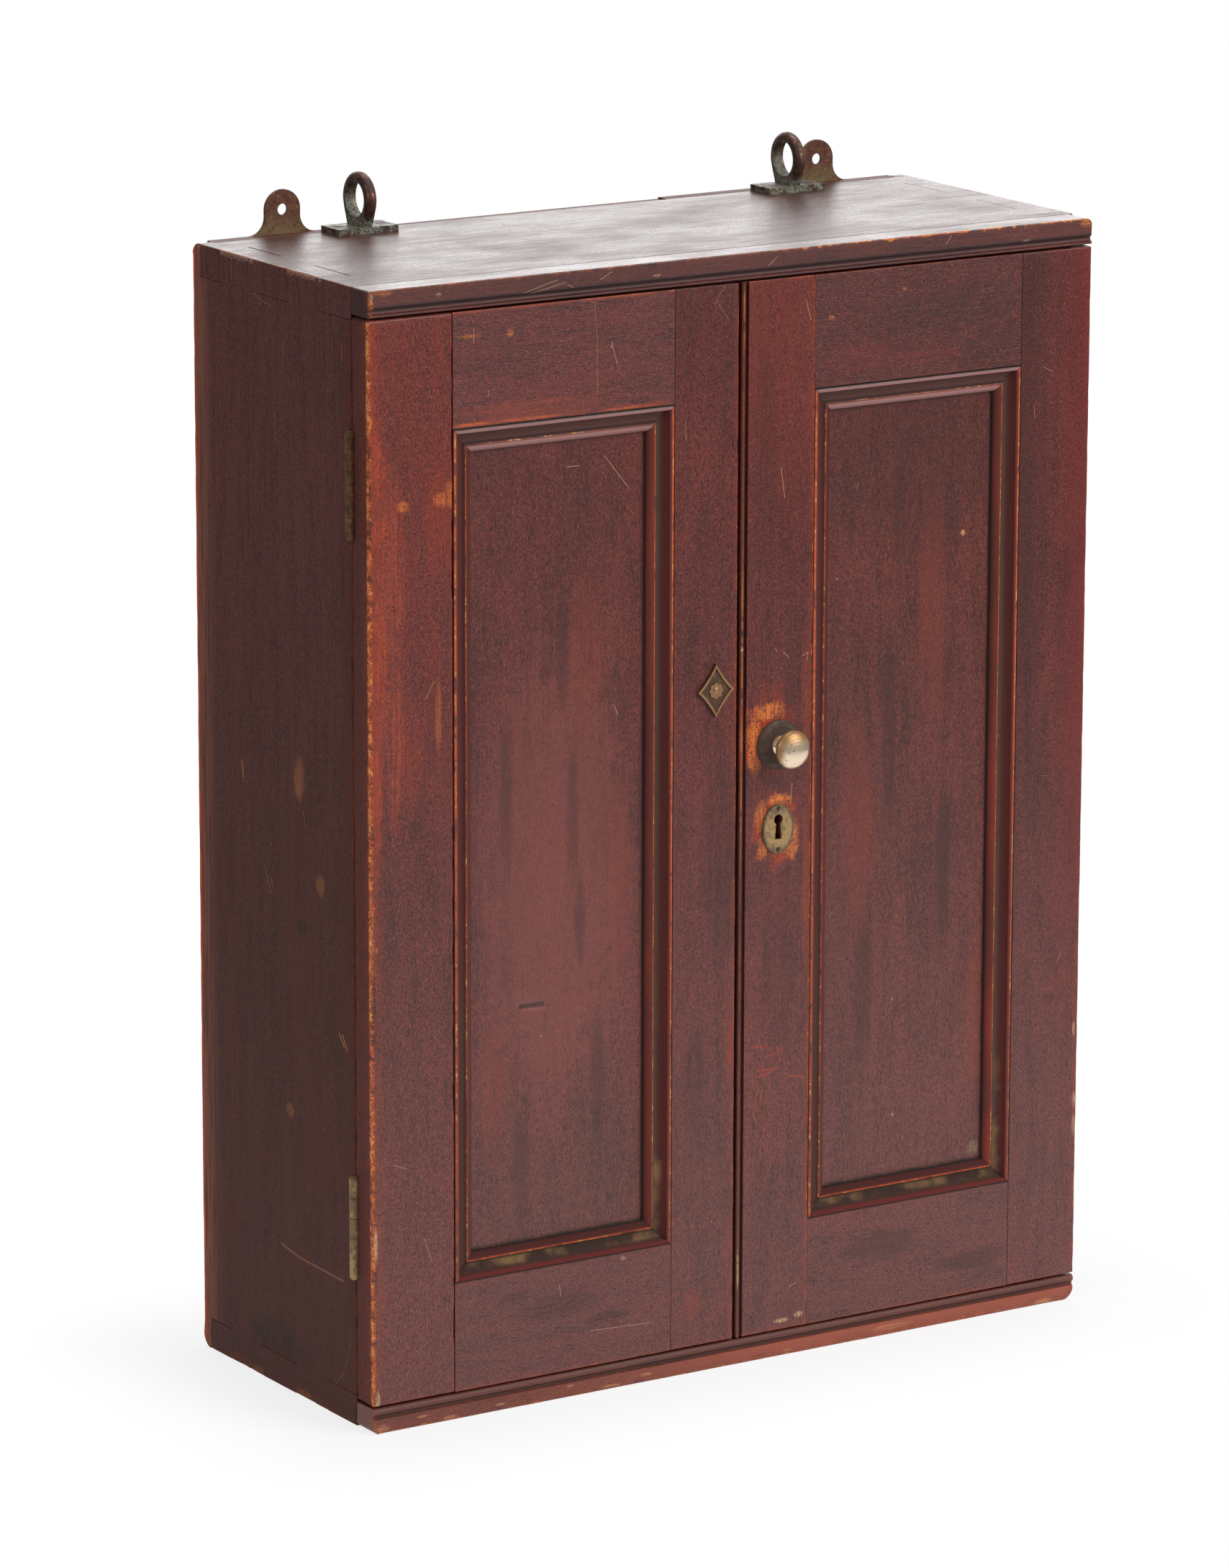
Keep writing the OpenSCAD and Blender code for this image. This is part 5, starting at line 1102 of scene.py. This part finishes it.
def build_stage():
    """A round floor, lit where the shadow lies and plain white farther out."""
    bm = bmesh.new()
    bmesh.ops.create_circle(bm, cap_ends=True, segments=64, radius=1.5)
    mesh = bpy.data.meshes.new("floor")
    bm.to_mesh(mesh)
    bm.free()
    floor = add_object("floor", mesh)
    floor.location = (0, 0, CASE_LOW.z - 0.2 * MM)
    material = bpy.data.materials.new("floor_white")
    material.use_nodes = True
    g = Graph(material.node_tree)
    place = g.node("ShaderNodeTexCoord").outputs["Object"]
    past = g.vector("SUBTRACT", g.vector("ABSOLUTE", place), (SIDE, BACK, 1.0))
    away = g.vector("LENGTH", g.vector("MAXIMUM", past, (0.0, 0.0, 0.0)))
    far = g.add(0.8, g.times((away, 0.0, 0.13), 0.2))
    path = g.node("ShaderNodeLightPath").outputs
    mixed(g, g.times(g.most(path["Is Camera Ray"], path["Is Glossy Ray"]), far),
          ("ShaderNodeBsdfDiffuse", {"Color": (0.88, 0.88, 0.88, 1)}), ("ShaderNodeEmission", {"Color": WHITE}),
          "ShaderNodeOutputMaterial")
    mesh.materials.append(material)


def build_world():
    """White for the camera. Reflections show it too behind the object, and a dim room in front of it."""
    world = bpy.data.worlds.new("studio")
    world.use_nodes = True
    bpy.context.scene.world = world
    g = Graph(world.node_tree)
    place = g.node("ShaderNodeTexCoord").outputs["Generated"]
    back = g.smooth(g.vector("DOT_PRODUCT", place, (0.53, 0.85, 0.0)), 0.5, 0.85)
    path = g.node("ShaderNodeLightPath").outputs
    mirror = g.times(g.most(path["Is Glossy Ray"], path["Is Transmission Ray"]), back)
    mixed(g, g.add(mirror, path["Is Camera Ray"]), ("ShaderNodeBackground", {"Color": WHITE, "Strength": ROOM}),
          ("ShaderNodeBackground", {"Color": WHITE, "Strength": 1.0}), "ShaderNodeOutputWorld")


def lamp(name, place, target, size, power):
    """An area lamp of that size that looks at a target. The camera doesn't see it."""
    data = bpy.data.lights.new(name, "AREA")
    data.shape = "RECTANGLE"
    data.size, data.size_y = size
    data.energy = power
    made = add_object(name, data)
    made.location = place
    made.rotation_mode = "QUATERNION"
    made.rotation_quaternion = (Vector(target) - Vector(place)).to_track_quat("-Z", "Y")
    made.visible_camera = False


def build_lamps():
    lamp("key_lamp", (1.5, -2.6, 2.2), (0, 0, 0.35), (2.2, 2.2), 95)
    lamp("fill_lamp", (-2.8, -1.0, 1.7), (0, 0, 0.35), (1.6, 1.6), 22)
    lamp("top_lamp", (0.2, 0.3, 2.8), (0, 0, 0.3), (2.0, 2.0), 40)
    lamp("back_lamp", (1.6, 2.6, 1.35), (0, 0, 0.7), (3.2, 1.5), 33)


def build_camera():
    """A camera fitted to the corners of the case in the photograph."""
    azimuth, elevation, roll = math.radians(-32.36), math.radians(13.54), math.radians(0.16)
    target, distance, focal_px, frame_h_px = Vector((-0.0226, 0, 0.3536)), 4.544, 10151.0, 2179.0
    back = Vector((math.sin(azimuth) * math.cos(elevation), -math.cos(azimuth) * math.cos(elevation),
                   math.sin(elevation)))
    data = bpy.data.cameras.new("camera")
    data.sensor_width = 36.0
    data.lens = focal_px * data.sensor_width / frame_h_px
    data.clip_end = 50.0
    camera = add_object("camera", data)
    camera.location = target + back * distance
    camera.rotation_mode = "QUATERNION"
    turn = (-back).to_track_quat("-Z", "Y")
    camera.rotation_quaternion = turn @ Matrix.Rotation(roll, 3, "Z").to_quaternion()
    bpy.context.scene.camera = camera


build_camera()
build_stage()
build_world()
build_lamps()
build_left_door()
build_right_door()
build_mouldings()
build_case()
build_strips()
build_shelves()
build_fittings()

bpy.context.scene.view_settings.view_transform = "Standard"
